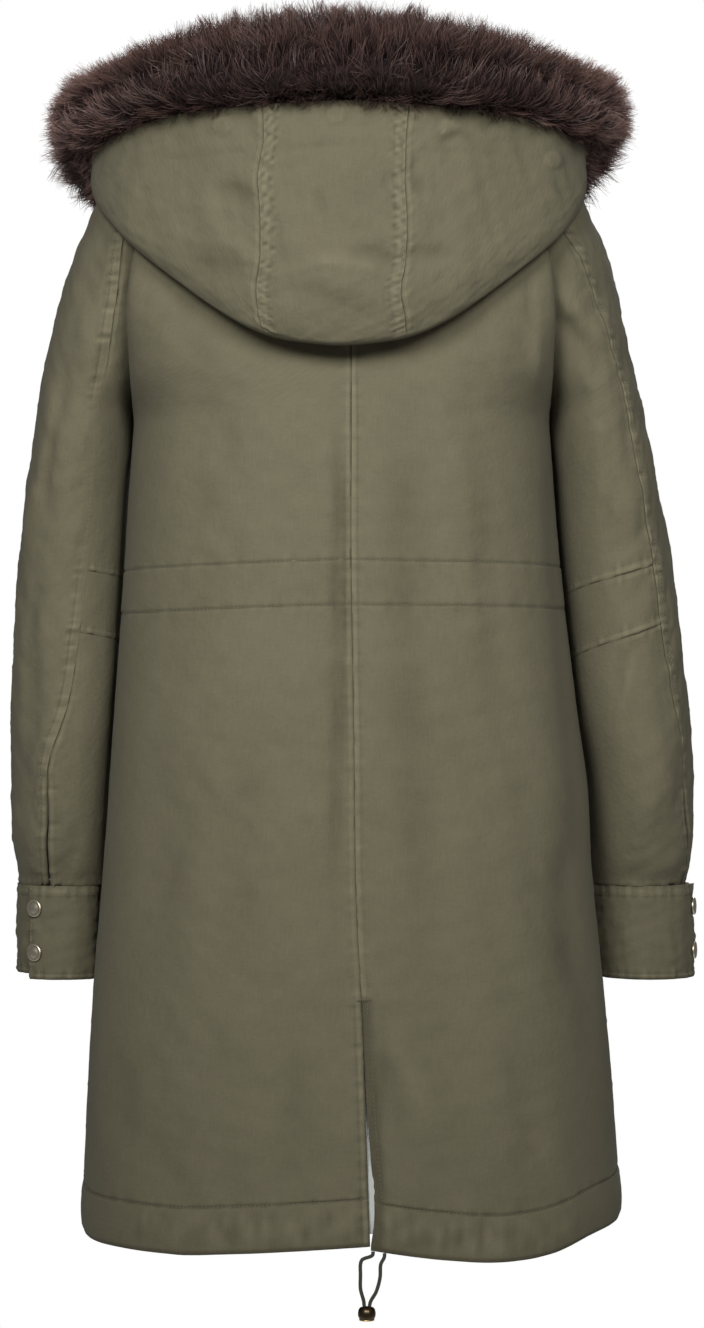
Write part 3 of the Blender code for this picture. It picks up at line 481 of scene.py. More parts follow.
# %% Sizes of the vent, the hem and the folds
VENT = (
    "z open",
    (-870, 0.7),
    (-866, 1.0),
    (-852, 5.0),
    (-837, 6.5),
    (-795, 3.8),
    (-750, 1.2),
    (-690, 0.2),
)
HEM_DROP = (
    "share back_left back_right front_left front_right",
    (0.0, 2.5, -0.5, -3.0, -3.0),
    (0.18, -1.5, -8.5, -3.0, -3.4),
    (0.33, -5.0, -12.0, -3.0, -3.8),
    (0.45, -7.5, -9.5, -3.0, -3.0),
    (0.62, -7.3, 1.0, -2.8, 0.5),
    (0.8, -7.0, 5.0, -2.5, 5.0),
    (1.0, -1.0, 8.0, -1.0, 8.0),
)
HEM_DROP_TOP = -560.0
HEM_PUFF = 1.6
FOLDS = {
    "back": (
        "across half_width top foot depth",
        (-9, 15, -300, -720, -3.2),
        (-70, 34, -420, -860, 1.8),
        (-165, 30, -330, -800, -2.0),
        (62, 26, -450, -860, -2.2),
        (150, 34, -380, -860, 2.2),
        (205, 22, -250, -700, -2.4),
    ),
    "front": (
        "across half_width top foot depth",
        (-150, 32, -300, -860, -3.0),
        (-95, 26, -480, -860, 2.4),
        (110, 28, -420, -860, -2.6),
        (165, 30, -260, -780, 2.2),
    ),
}
FOLD_FADE = 70.0
print("folds:", {face: len(table) - 1 for face, table in FOLDS.items()})

# %% [markdown]
# ## Reading a table
# `smooth` draws a curve through the rows that never swings past them, which matters for cloth:
# an overshoot would be a bulge. `Row` reads all columns of a table at once, at one place or at a
# whole array of places.

# %% Tables and grids
def smooth(key, knots, values):
    """values at key, on a smooth curve through the rows that doesn't overshoot them."""
    key = np.clip(np.asarray(key, float), knots[0], knots[-1])
    step = np.diff(knots)[:, None]
    slope = np.diff(values, axis=0) / step
    tangent = np.zeros_like(values)
    turns = slope[:-1] * slope[1:] > 0
    mean = (slope[:-1] * step[1:] + slope[1:] * step[:-1]) / (step[1:] + step[:-1])
    tangent[1:-1] = np.where(turns, mean, 0.0)
    tangent[0], tangent[-1] = slope[0], slope[-1]
    spot = np.clip(np.searchsorted(knots, key, side="right") - 1, 0, len(knots) - 2)
    width = step[spot, 0][..., None]
    part = (key - knots[spot])[..., None] / width
    low, high = values[spot], values[spot + 1]
    bend = part * part * (3 - 2 * part)
    lead = part * (1 - part) ** 2 * width * tangent[spot]
    tail = part * part * (part - 1) * width * tangent[spot + 1]
    return low + (high - low) * bend + lead + tail


class Row:
    """The columns of a table, read smoothly at a value of its first column."""

    def __init__(self, table, key):
        rows = np.array(table[1:], float)
        found = smooth(key, rows[:, 0], rows[:, 1:])
        for i, name in enumerate(table[0].split()[1:]):
            setattr(self, name, found[..., i])

    def get(self, name):
        return getattr(self, name)


def ramp(value, start, end):
    """0 before start, 1 after end, and smooth between."""
    part = np.clip((value - start) / (end - start), 0, 1)
    return part * part * (3 - 2 * part)


def normals(grid, sign):
    """Unit normals of a grid, pointing out of the garment."""
    along_row = np.gradient(grid, axis=1, edge_order=2)
    found = np.cross(along_row, np.gradient(grid, axis=0, edge_order=2)) * sign
    return found / np.linalg.norm(found, axis=-1, keepdims=True)


def along(points):
    """The distance run along a line of points."""
    return np.concatenate([[0], np.cumsum(np.linalg.norm(np.diff(points, axis=0), axis=1))])


def at_places(places, run, line):
    """The points of a line at some places along it."""
    return np.stack([np.interp(places, run, line[:, i]) for i in range(3)], -1)


print("tables read; the back is", Row(TORSO, HEM).half * 2, "mm wide at the hem")

# %% [markdown]
# ## The sleeve's surface
# A raglan sleeve is a tube whose section runs from its outermost point to its innermost one.
# Where it rests against the body it is pressed flat, just clear of it.

# %% Sleeves
SLEEVE_ROOM, SLEEVE_SOFT = 1.8, 4.0


def sign_of(arm):
    return -1 if arm == "left" else 1


def sleeve_surface(arm, height, turn, stand=0.0):
    """Points of a sleeve, turn in degrees from 0 outward to 90 forward, stand out from its surface."""
    height, turn = np.broadcast_arrays(np.asarray(height, float), np.asarray(turn, float))
    row = Row(SLEEVE, height)
    out = np.stack([row.get("out_" + arm), row.out_y, row.out_z], -1)
    inner = np.stack([row.get("in_" + arm), row.in_y, row.in_z], -1)
    reach = np.radians(row.reach)[..., None]
    across = (out - inner) / (1 - np.cos(reach))
    tip = np.radians(row.tip)
    forward = np.stack([0 * tip, np.cos(tip), -np.sin(tip)], -1) * row.deep[..., None]
    angle = np.radians(turn)[..., None]
    spoke = np.cos(angle) * across + np.sin(angle) * forward
    grow = 1 + np.asarray(stand)[..., None] / np.linalg.norm(spoke, axis=-1, keepdims=True)
    points = clear_of_body(out - across + spoke * grow, height)
    points[..., 0] = sign_of(arm) * points[..., 0] + Row(TORSO, points[..., 2]).sway * (height < UNDERARM)
    return points


def clear_of_body(points, height):
    """Sleeve points that would lie in the body are moved out to just clear of it."""
    ring = Row(TORSO, points[..., 2])
    back = points[..., 1] < ring.side_y
    depth = np.where(back, ring.side_y - ring.back_y, ring.front_y - ring.side_y)
    part = np.clip(np.abs(points[..., 1] - ring.side_y) / depth, 0, 1)
    edge = ring.half * (1 - part**ring.fullness) ** (1 / ring.fullness)
    below = 1 - ramp(height, UNDERARM - 45, UNDERARM)
    room, soft = SLEEVE_ROOM * below, SLEEVE_SOFT * below + 1e-3
    over = (points[..., 0] - edge - room) / soft
    lift = np.where(over < -1, -over, (1 - np.minimum(over, 1)) ** 2 / 4) * soft
    points = points.copy()
    points[..., 0] += np.where(below > 0, lift, 0)
    return points


def sleeve_reach(height):
    return Row(SLEEVE, height).reach


def sleeve_seam(arm, height):
    return Row(SLEEVE, height).get("seam_" + arm)


def degrees_for(arm, height, turn, length):
    """The turn that a length along the section spans there."""
    low, high = sleeve_surface(arm, height, turn - 0.5), sleeve_surface(arm, height, turn + 0.5)
    return length / np.linalg.norm(high - low, axis=-1)


print("the left sleeve's outermost point at the elbow:", sleeve_surface("left", -352.0, 0.0).round(1))

# %% [markdown]
# ## The body's surface
# The body is a ring at each height below the underarm, and above it a row that ends on the
# sleeves' raglan seams. A panel takes the part of each row between its side edge and the centre
# seam, which doesn't lie exactly in the middle of the back.

# %% Body
def body_row(face, height):
    """One row of the back or the front, from the left side seam to the right, closely spaced."""
    if height <= UNDERARM:
        ring = Row(TORSO, height)
        ends = [np.array([ring.sway + s * ring.half, ring.side_y, height]) for s in (-1, 1)]
        middle = np.array([ring.sway, ring.get(face + "_y"), height])
        wrap, fullness = math.pi / 2, ring.fullness
    else:
        row = Row(YOKE, height)
        edge = sleeve_reach(height) * (-1 if face == "back" else 1)
        ends = [sleeve_surface(arm, height, edge) for arm in ("left", "right")]
        middle = np.array([(ends[0][0] + ends[1][0]) / 2, row.get(face + "_y"), row.get(face + "_z")])
        wrap, fullness = math.radians(row.get(face + "_wrap")), row.fullness
    angle = np.linspace(-wrap, wrap, 601)[:, None]
    across = np.sin(angle) / math.sin(wrap)
    deep = np.clip((np.cos(angle) - math.cos(wrap)) / (1 - math.cos(wrap)), 0, 1)
    across = np.sign(across) * np.abs(across) ** (2 / fullness)
    centre = (ends[0] + ends[1]) / 2
    return centre + (ends[1] - ends[0]) / 2 * across + (middle - centre) * deep ** (2 / fullness)


def centre_seam(face, height, length):
    """Where the centre seam lies on a row, measured from its left end."""
    if face == "front":
        return length / 2
    return length / 2 + float(Row(TORSO if height <= UNDERARM else YOKE, height).seam)


def beside_centre(face, height, offsets):
    """The points of a row at some distances from its centre seam."""
    row = body_row(face, height)
    run = along(row)
    return at_places(centre_seam(face, height, run[-1]) + offsets, run, row)


def body_grid(face, half, heights, shares, gap=None):
    """Points and distances from the centre seam of one body panel, its rows upwards. shares run
    from 0 at the left edge to 1 at the right, gap(height) is the space left at the centre."""
    points, across = [], []
    for height in heights:
        row = body_row(face, height)
        run = along(row)
        middle = centre_seam(face, height, run[-1])
        near = gap(height) if gap and half == "right" else EDGE_GAP
        left, right = (EDGE_GAP, middle - near) if half == "left" else (middle + near, run[-1] - EDGE_GAP)
        places = left + (right - left) * np.asarray(shares)
        line = at_places(places, run, row)
        side_share = np.abs(places - middle) / (middle if half == "left" else run[-1] - middle)
        line[:, 2] += hem_drop(face, half, side_share, height)
        points.append(line)
        across.append(places - middle)
    return np.array(points), np.array(across)


def hem_drop(face, half, side_share, height):
    drop = Row(HEM_DROP, side_share).get(f"{face}_{half}")
    return drop * (1 - ramp(height, HEM, HEM_DROP_TOP))


def fold_depth(face, across, height):
    """How far the largest folds and the hem's casing stand out of the plain surface."""
    total = HEM_PUFF * np.sin(math.pi * np.clip((height - HEM) / (HEM_STITCH - HEM), 0, 1)) + 0 * across
    for place, half_width, top, foot, depth in FOLDS[face][1:]:
        length = ramp(-height, -top, -top + FOLD_FADE) * (1 - ramp(-height, -foot, -foot + FOLD_FADE))
        total += depth * length * np.exp(-(((across - place) / half_width) ** 2))
    return total


print("the back's lower edge is", round(along(body_row("back", HEM))[-1]), "mm long")

# %% [markdown]
# ## What lies on the shoulders
# The hood lies on the shoulders and the fur rests on both, so neither may sink into what is
# under it. The surfaces below go into a search tree. `push` then asks it, for each point, how far
# the point is from them and moves it out, softly, to keep its gap.

# %% Shoulders
def grid_faces(rows, columns, start=0):
    """The corners of the squares of a grid."""
    low = (np.arange(rows - 1)[:, None] * columns + np.arange(columns - 1)).ravel() + start
    return np.stack([low, low + 1, low + columns + 1, low + columns], -1)


def search_tree(*grids):
    """A tree of the faces of some grids, each given with its outward sign."""
    points, faces = [], []
    for grid, sign in grids:
        squares = grid_faces(*grid.shape[:2], len(points))
        faces += (squares if sign > 0 else squares[:, ::-1]).tolist()
        points += grid.reshape(-1, 3).tolist()
    return BVHTree.FromPolygons(points, faces)


def shoulders():
    """The sleeves' tops, the yoke and the chest, as a search tree."""
    heights = np.linspace(-330, NECK, 70)
    grids = []
    for arm in ("left", "right"):
        turns = sleeve_reach(heights)[:, None] * np.linspace(-1, 1, 61)
        grids.append((sleeve_surface(arm, heights[:, None], turns), sign_of(arm)))
    for face, sign in (("back", 1), ("front", -1)):
        rows = [body_row(face, height)[::12] for height in heights]
        grids.append((np.array(rows), sign))
    return search_tree(*grids)


def push(points, tree, gap, soft):
    """How far each point has to move, and which way, to keep its gap to a surface."""
    gap, soft = (np.broadcast_to(value, points.shape[:-1]) for value in (gap, soft))
    moves = np.zeros(points.shape)
    for spot in np.ndindex(points.shape[:-1]):
        near, face, _, _ = tree.find_nearest(Vector(points[spot]))
        short = gap[spot] - (Vector(points[spot]) - near).dot(face)
        if short > -soft[spot]:
            rises = short <= soft[spot]
            lift = (short + soft[spot]) ** 2 / (4 * soft[spot]) if rises else short
            moves[spot] = face * lift
    return moves


SHOULDERS = shoulders()
print("the shoulders' highest point:", [round(v) for v in SHOULDERS.find_nearest(Vector((0, 0, 200)))[0]])

# %% [markdown]
# ## The fur's surface and the neckline
# The fur is a band round the neck with an oval section, closed and rounded at its two front ends.
# `turn` says where round the neck a point lies, and `spin` where round the band. The neckline is
# gathered from the pieces that end there, in order of their angle round the neck.

# %% Fur and neckline
FUR_OFF_SHOULDER = 8.5
FUR_SIDES, FUR_SECTIONS = 14, 40
FUR_END = 9.0  # degrees before its end where the band begins to close


def fur_surface(turn, spin, grow=0.0, rounded=True):
    """Points of the fur's surface: turn round the neck, spin round the band from its outer side."""
    turn, spin = np.broadcast_arrays(np.asarray(turn, float), np.asarray(spin, float))
    row = Row(FUR, np.abs(turn))
    near_end = np.clip((np.abs(turn) - HOOD_END + FUR_END) / 10, 0, 1)
    close = np.sqrt(1 - rounded * near_end**2)
    across, rise = np.cos(spin), np.sin(spin)
    middle_r = row.middle_r - np.where(turn > 0, row.right_in, 0)
    middle_z = row.middle_z + np.where(turn > 0, row.right_up, -row.left_hangs)
    r = middle_r + np.maximum(close * row.wide + grow, 1) * across
    z = middle_z + np.maximum(close * np.where(rise < 0, row.down, row.up) + grow, 1) * rise
    angle = np.radians(turn)
    points = np.stack([r * np.sin(angle), NECK_AXIS_Y - r * np.cos(angle), z], -1)
    return points + push(points, SHOULDERS, FUR_OFF_SHOULDER + grow, 4.0)


def neckline():
    """The whole neckline by its angle round the neck, 0 at the back, as (angles, points)."""
    turns = sleeve_reach(NECK) * np.linspace(-1, 1, 121)
    parts = [body_row("back", NECK), body_row("front", NECK)]
    parts += [sleeve_surface(arm, NECK, turns) for arm in ("left", "right")]
    points = np.concatenate(parts)
    angles = np.degrees(np.arctan2(points[:, 0], NECK_AXIS_Y - points[:, 1]))
    order = np.argsort(angles)
    return angles[order], points[order]


fur_turns = np.linspace(-HOOD_END, HOOD_END, FUR_SECTIONS + 1)[:, None]
FUR_TREE = search_tree((fur_surface(fur_turns, np.linspace(0, TURN, FUR_SIDES + 1)[None, :]), -1))
NECKLINE = neckline()
print("neckline length:", round(along(NECKLINE[1])[-1] / 10), "cm")

# %% [markdown]
# ## The hood's surface
# `down` runs from 0 at the neckline to 1 at the edge under the fur. The points that the sizes name
# lie at fixed places of it, and a smooth curve joins them. The seams of the centre panel keep their
# distance from the middle and sway a little. Last, each panel is pushed clear of the shoulders and
# the fur, with both its outer and its inner side.

# %% Hood
def section(down, *values):
    """One coordinate of the hood's section, smooth through the values at its named points."""
    knots, values = np.array(HOOD_KNOTS), np.stack(values, -1)
    slope = np.diff(values, axis=-1) / np.diff(knots)
    middle = (slope[..., 1:] + slope[..., :-1]) / 2
    tangent = np.concatenate([slope[..., :1], middle, slope[..., -1:]], -1)
    spot = np.clip(np.searchsorted(knots, down, side="right") - 1, 0, len(knots) - 2)
    width = np.diff(knots)[spot]
    part = (down - knots[spot]) / width
    low, high, start, end = (
        np.take_along_axis(array, spot[..., None] + step, -1)[..., 0]
        for array, step in ((values, 0), (values, 1), (tangent, 0), (tangent, 1))
    )
    bend = part * part * (3 - 2 * part)
    swing = part * (1 - part) ** 2 * start + part * part * (part - 1) * end
    return low + (high - low) * bend + width * swing


def hood_plain(turn, down):
    """Points of the hood before it is moved off the shoulders: down runs from 0 at the neckline,
    over the rim to the fold and up to 1 at the edge under the fur."""
    turn, down = np.broadcast_arrays(np.asarray(turn, float), np.asarray(down, float))
    row, fur = Row(HOOD, np.hypot(turn, HOOD_ROUND)), Row(FUR, np.abs(turn))
    neck = [np.interp(turn, NECKLINE[0], NECKLINE[1][:, i]) for i in range(3)]
    neck_r = np.hypot(neck[0], neck[1] - NECK_AXIS_Y) - NECK_GAP
    meets = -np.arccos(np.clip(fur.lean / fur.wide, -1, 1))
    edge = fur_surface(turn[-1:], meets[-1:], LIES_OVER, rounded=False)
    edge = np.broadcast_to(edge, (*turn.shape, 3))
    edge_r = np.hypot(edge[..., 0], edge[..., 1] - NECK_AXIS_Y)
    fold_r = row.fold_r - np.where(turn > 0, row.right_in, 0)
    fold_in, fold_out = fold_r - row.fold_w / 2, fold_r + row.fold_w / 2
    r = section(down, neck_r, row.rim_r, row.down_r, fold_in, fold_out, edge_r)
    z = section(down, neck[2] + NECK_GAP, row.rim_z, row.down_z, row.fold_z, row.fold_z, edge[..., 2])
    angle = np.radians(turn)
    return np.stack([r * np.sin(angle), NECK_AXIS_Y - r * np.cos(angle), z], -1)


SEAM_SWAY = (
    "down left right",
    (0.50, 0.0, 0.0),
    (0.53, 3.0, 0.8),
    (0.60, -1.5, 0.0),
    (0.665, -3.4, -3.2),
    (0.73, 0.0, 0.8),
    (0.80, 0.0, 1.5),
    (0.87, -2.0, 0.0),
    (0.94, 2.2, 0.8),
    (1.00, 1.5, 3.2),
)


def hood_seam(side, down):
    """The angle of a centre panel seam, which keeps its distance from the middle of the hood and
    sways a little where the cloth has slackened."""
    reach = HOOD_SEAM_LEFT if side < 0 else HOOD_SEAM_RIGHT
    sway = Row(SEAM_SWAY, np.clip(down, 0.5, 1.0))
    x = HOOD_SEAM_NECK + (reach - HOOD_SEAM_NECK) * ramp(down, 0.0, 0.5)
    x = x + (-sway.left if side < 0 else sway.right)
    r = np.linalg.norm(hood_plain(0.0 * down, down)[..., :2] - (0, NECK_AXIS_Y), axis=-1)
    return side * np.degrees(np.arcsin(np.clip(x / r, 0, 0.9)))


def both_sides(grid):
    """The outer and the inner side of a hood panel."""
    return grid, grid - normals(grid, 1) * (CLOTH + SET_IN)


def longest(*moves):
    """At each point the longest of some moves."""
    best = moves[0]
    for move in moves[1:]:
        further = np.linalg.norm(move, axis=-1) > np.linalg.norm(best, axis=-1)
        best = np.where(further[..., None], move, best)
    return best


def hood_grid(start, end, down, shares):
    """The outer surface of a hood panel between two angles, each a function of down."""
    down = np.array(down, float)[:, None]
    turn = start(down) + (end(down) - start(down)) * np.asarray(shares)
    grid = hood_plain(turn, down)
    free = ramp(down, 0.0, 0.12)
    for tree, gap, soft in ((SHOULDERS, 0.3 + 1.9 * free, 0.1 + 1.9 * free), (FUR_TREE, 1.0, 0.5)):
        grid = grid + longest(*(push(side, tree, gap, soft) for side in both_sides(grid)))
    return grid


print("the left hood seam is", round(float(-hood_seam(-1, np.array([1.0]))[0])), "degrees from the middle")

# %% [markdown]
# ## From a grid to cloth
# Each piece of cloth starts as a fine grid of points on the cut surface. A `Panel` keeps, for
# every point, how far it stands out of that surface: `soft` for folds that the whole thickness
# follows, and `fine` for puckers and stitch lines on the outer side. `bent` holds its creases
# once more, because their troughs are painted darker as shade and their crests lighter as a
# painted highlight. A panel also knows how far each point is from the four
# edges, because all that sewing does to cloth happens beside an edge.

# %% Panels
def spread(start, end, step, close=(), reach=7.0, pull=1.8):
    """Places from start to end, a step apart and closer together around some of them, in a
    number of spaces that six divides."""
    fine = np.linspace(start, end, 3000)
    density = np.ones(len(fine))
    for place in close:
        density += pull * np.exp(-(((fine - place) / reach) ** 2))
    run = np.concatenate([[0], np.cumsum((density[1:] + density[:-1]) / 2 * np.diff(fine))])
    count = max(1, round(run[-1] / step / 6)) * 6
    return np.interp(np.linspace(0, run[-1], count + 1), run, fine)


def distances(grid, axis):
    """How far along its row (axis 1) or column (axis 0) each point lies."""
    steps = np.linalg.norm(np.diff(grid, axis=axis), axis=-1)
    pad = ((1, 0), (0, 0)) if axis == 0 else ((0, 0), (1, 0))
    return np.pad(np.cumsum(steps, axis), pad)


class Panel:
    """A piece of cloth as a grid of points on its outer side."""

    def __init__(self, name, plain, sign):
        self.name, self.plain, self.sign = name, plain, sign
        self.out = normals(plain, sign)
        self.left, self.low = distances(plain, 1), distances(plain, 0)
        self.right, self.high = self.left[:, -1:] - self.left, self.low[-1:] - self.low
        self.x, self.z = plain[..., 0], plain[..., 2]
        self.soft, self.fine, self.bent = 0 * self.x, 0 * self.x, 0 * self.x

    def face(self):
        """The outer side as it is made, and its normals."""
        grid = self.plain + self.out * (self.soft + self.fine - SET_IN)[..., None]
        return grid, normals(grid, self.sign)

    def line(self, key, value, axis):
        """The points of the outer side where key, which grows along an axis, passes a value."""
        grid, out = self.face()
        if axis == 0:
            grid, out, key = grid.transpose(1, 0, 2), out.transpose(1, 0, 2), key.T
        found = []
        for array in (grid, out):
            found.append(np.array([at_places(value, k, row) for k, row in zip(key, array)]))
        return found


print("columns for a 250 mm wide piece:", len(spread(0, 250, 4.5, (0, 250))))

# %% [markdown]
# ## What washing and wearing do to cloth
# Swells are the large uneven waves of cloth that hangs free, and ridges the thin soft lines that
# washing leaves. Creases are lines where the cloth was bent for long. They are listed in a
# table: each runs from one spot to another, has a half width and a depth, and fades at both
# ends.

# %% Swells, ridges and creases
def swells(points, size, seed, stretch=(1, 1, 1)):
    """Uneven swells about size across: waves that run in all directions, added up."""
    dice = np.random.default_rng(seed)
    total = np.zeros(points.shape[:-1])
    for _ in range(12):
        way = dice.normal(size=3) * stretch
        wave = size * dice.uniform(0.7, 1.6) * np.linalg.norm(way)
        total += np.sin(points @ way * (TURN / wave) + dice.uniform(0, TURN))
    return total / math.sqrt(6)


def ridges(points, size, seed, stretch=(1, 1, 1)):
    """Thin soft lines in a loose net, as washing leaves them."""
    net = swells(points, size, seed, stretch)
    patches = ramp(swells(points, size * 2.5, seed + 1), -0.4, 1.2)
    return np.exp(-((net / 0.32) ** 2)) * patches


CREASE_DEPTH = 1.9  # millimetres for a crease whose depth is 1


def creases(table, panel, facing):
    """The depth of creases placed by hand, on the side of a panel that faces them."""
    total = 0 * panel.x
    for number, (x, z, to_x, to_z, half_width, depth) in enumerate(table[1:]):
        reach = math.hypot(to_x - x, to_z - z)
        way_x, way_z = (to_x - x) / reach, (to_z - z) / reach
        run = (panel.x - x) * way_x + (panel.z - z) * way_z
        bow = min(0.05 * reach, 2.5) * np.sin(run / reach * math.pi * 1.4 + number)
        off = (panel.x - x) * way_z - (panel.z - z) * way_x + bow
        fade = ramp(run, -half_width, 0.3 * reach) * (1 - ramp(run, 0.7 * reach, reach + half_width))
        uneven = 0.8 + 0.2 * np.sin(run / 13 + 2.1 * number)
        total += CREASE_DEPTH * depth * fade * uneven * np.exp(-((off / half_width) ** 2))
    return total * facing


SPOTS = np.array([(x, 0.0, 0.0) for x in (0, 10, 20, 30)])
print("swells of 40 mm at four places:", swells(SPOTS, 40, 1).round(2))

# %% [markdown]
# ## What sewing does to cloth
# Beside a topstitched seam the layers underneath make the cloth stand up, and the thread pulls it
# into a groove. The thread is also a little shorter than the cloth, so the band beside it puckers
# in short waves. At a seam one edge lies on top and stands up a step, and the other one dips under
# it. A free edge is turned in, so it rolls away.

# %% Seams and edges
def waves(run, size, seed):
    """Short waves of uneven length along a seam."""
    dice = np.random.default_rng(seed)
    total = 0 * run
    for share, part in ((1.0, 0.55), (0.72, 0.3), (1.45, 0.35), (2.3, 0.2)):
        total = total + part * np.sin(run * (TURN / (size * share)) + dice.uniform(0, TURN))
    return total


def seam(distance, run, stitched=(7.0,), pucker=0.5, size=9.0, seed=1, step=0.0):
    """The relief beside a seam: distance is measured from it, run along it, and stitched holds
    how far from it each row of stitching lies. step is how far the edge itself stands up, and is
    negative where it dips under the next piece."""
    last = max(stitched, default=4.0)
    uneven = waves(run, size * 2.3, seed + 500)
    relief = (0.34 + 0.14 * uneven) * (ramp(distance, -0.6, 1.0) - ramp(distance, last - 0.8, last + 1.0))
    relief += step * (0.8 + 0.3 * uneven) * np.exp(-((distance / 1.5) ** 2))
    for line in stitched:
        relief -= 0.5 * np.exp(-(((distance - line) / 0.75) ** 2))
    band = ramp(distance, -1.0, 1.2) * (1 - ramp(distance, last - 0.5, last + 6.5))
    return relief + pucker * band * waves(run, size, seed)


def rolled(distance, width=2.6, depth=0.9):
    """A free edge, which turns in."""
    return -depth * (1 - ramp(distance, 0.0, width))


def channel_line(panel, height, pucker, size, seed):
    """A row of stitching across a panel at some heights, with its puckers."""
    off = panel.z - height
    relief = -0.85 * np.exp(-((off / 0.8) ** 2))
    return relief + pucker * np.exp(-((off / 5.5) ** 2)) * waves(panel.x, size, seed)


BESIDE = np.array([0, 1, 3, 7, 12.0])
print("a seam's relief at", BESIDE, "mm:", seam(BESIDE, 0 * BESIDE, pucker=0).round(2))

# %% [markdown]
# ## Meshes
# Every piece ends as a mesh made from arrays: points, groups of faces, and values on the points
# that its finish reads. `own` says which body a piece moves with and which solids it stands for.

# %% Meshes
def add_mesh(name, points, faces, finish, values=(), weave=None, angle=70.0):
    """A mesh from points in millimetres. faces is a list of arrays of corners, values holds pairs
    of a name and one number for each point, and weave each point's place on the cloth."""
    mesh = bpy.data.meshes.new(name)
    corners = np.concatenate([group.ravel() for group in faces]).astype(np.int32)
    sizes = np.concatenate([np.full(len(group), group.shape[1]) for group in faces])
    starts = np.concatenate([[0], np.cumsum(sizes)[:-1]]).astype(np.int32)
    mesh.vertices.add(len(points))
    mesh.vertices.foreach_set("co", (points * MM).astype(np.float32).ravel())
    mesh.loops.add(len(corners))
    mesh.loops.foreach_set("vertex_index", corners)
    mesh.polygons.add(len(sizes))
    mesh.polygons.foreach_set("loop_start", starts)
    mesh.update(calc_edges=True)
    mesh.validate()
    for word, numbers in values:
        made = mesh.attributes.new(word, "FLOAT", "POINT")
        made.data.foreach_set("value", np.asarray(numbers, np.float32).ravel())
    if weave is not None:
        layer = mesh.uv_layers.new(name="weave")
        layer.data.foreach_set("uv", weave[corners].astype(np.float32).ravel())
    mesh.materials.append(finish)
    mesh.shade_smooth()
    mesh.set_sharp_from_angle(angle=math.radians(angle))
    made = bpy.data.objects.new(name, mesh)
    bpy.context.scene.collection.objects.link(made)
    return made


def rim(outer, inner):
    """Faces between a line of points and a line of fewer points that starts and ends with it."""
    step = (len(outer) - 1) // (len(inner) - 1)
    count = len(inner) - 1
    near = [outer[i : i + step * count : step] for i in range(step)]
    return np.stack([*near, outer[step::step], inner[1:], inner[:-1]], -1)


def tube_faces(rows, columns):
    """The squares round a closed tube, and the caps at its two ends."""
    ring = np.arange(columns)
    low = (np.arange(rows - 1)[:, None] * columns + ring).ravel()
    right = (np.arange(rows - 1)[:, None] * columns + (ring + 1) % columns).ravel()
    sides = np.stack([low, right, right + columns, low + columns], -1)
    return sides, np.stack([ring[::-1], (rows - 1) * columns + ring])


def own(piece, nodes):
    """A piece that rides on the garment and stands for some of its solids."""
    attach(piece, "root")
    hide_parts(*nodes)
    return piece


print("rim between 5 and 3 points:", rim(np.arange(5), np.arange(5, 8)).tolist())

# %% [markdown]
# ## Shells
# A thin shell is the panel's outer side, an inner side with fewer points, and narrow rims between
# them. The mesh also carries `wear`, which rises with whatever stands out and falls in dips and
# crease troughs, so that it holds rubbed wear and also painted shade and highlight, and a map
# named `weave` in metres, so that threads and stains have their real size.

# %% Shells
CLOTH_THICK = 1.3
# Relief paints the colour partly as rubbed wear and partly as painted shade in dips; creases paint only
# shade in their troughs and a highlight on their crests.
WEAR_AND_SHADE_OF_RELIEF, SHADE_AND_HIGHLIGHT_OF_CREASES = 1 / 1.5, 0.085  # for each millimetre


def shell(panel, finish, nodes, thin=(3, 3), thick=CLOTH_THICK, contrast=1.0):
    """The thin cloth of one panel, with its flat cut."""
    outer, _ = panel.face()
    rows, columns = outer.shape[:2]
    v_thin, u_thin = np.arange(0, rows, thin[0]), np.arange(0, columns, thin[1])
    back = panel.plain + panel.out * (panel.soft + np.minimum(panel.fine, 0) - SET_IN - thick)[..., None]
    inner = back[np.ix_(v_thin, u_thin)]
    index = np.arange(rows * columns).reshape(rows, columns)
    under = np.arange(inner.shape[0] * inner.shape[1]).reshape(inner.shape[:2]) + rows * columns
    faces = [grid_faces(rows, columns), grid_faces(*inner.shape[:2], rows * columns)[:, ::-1]]
    for out_line, in_line, turned_round in (
        (index[0], under[0], True),
        (index[-1], under[-1], False),
        (index[:, 0], under[:, 0], False),
        (index[:, -1], under[:, -1], True),
    ):
        made = rim(out_line, in_line)
        faces.append(made[:, ::-1] if turned_round else made)
    if panel.sign < 0:
        faces = [group[:, ::-1] for group in faces]
    # Painted shade and highlight: dips and crease troughs darken the colour, crests lighten it, beside the
    # rubbed wear.
    rubbed_and_shaded = WEAR_AND_SHADE_OF_RELIEF * panel.fine + SHADE_AND_HIGHLIGHT_OF_CREASES * panel.bent
    wear = np.clip(0.5 + contrast * rubbed_and_shaded, 0, 1)
    weave = np.stack([panel.left, panel.low], -1) * MM
    thinned = [array[np.ix_(v_thin, u_thin)] for array in (wear, weave)]
    piece = add_mesh(
        panel.name,
        np.concatenate([outer.reshape(-1, 3), inner.reshape(-1, 3)]),
        faces,
        finish,
        [("wear", np.concatenate([wear.ravel(), thinned[0].ravel()]))],
        np.concatenate([weave.reshape(-1, 2), thinned[1].reshape(-1, 2)]),
    )
    own(piece, nodes)
    return piece


STITCHED = []  # (points, normals) of each row of stitching, sewn later


def sew(panel, key, value, axis=1, first=0.0, last=1.0):
    """Keeps a row of stitching on a panel for later; first and last are shares of its length."""
    points, out = panel.line(key, value, axis)
    run = along(points)
    kept = (run >= first * run[-1]) & (run <= last * run[-1])
    STITCHED.append((points[kept], out[kept]))


print("ready to build shells")

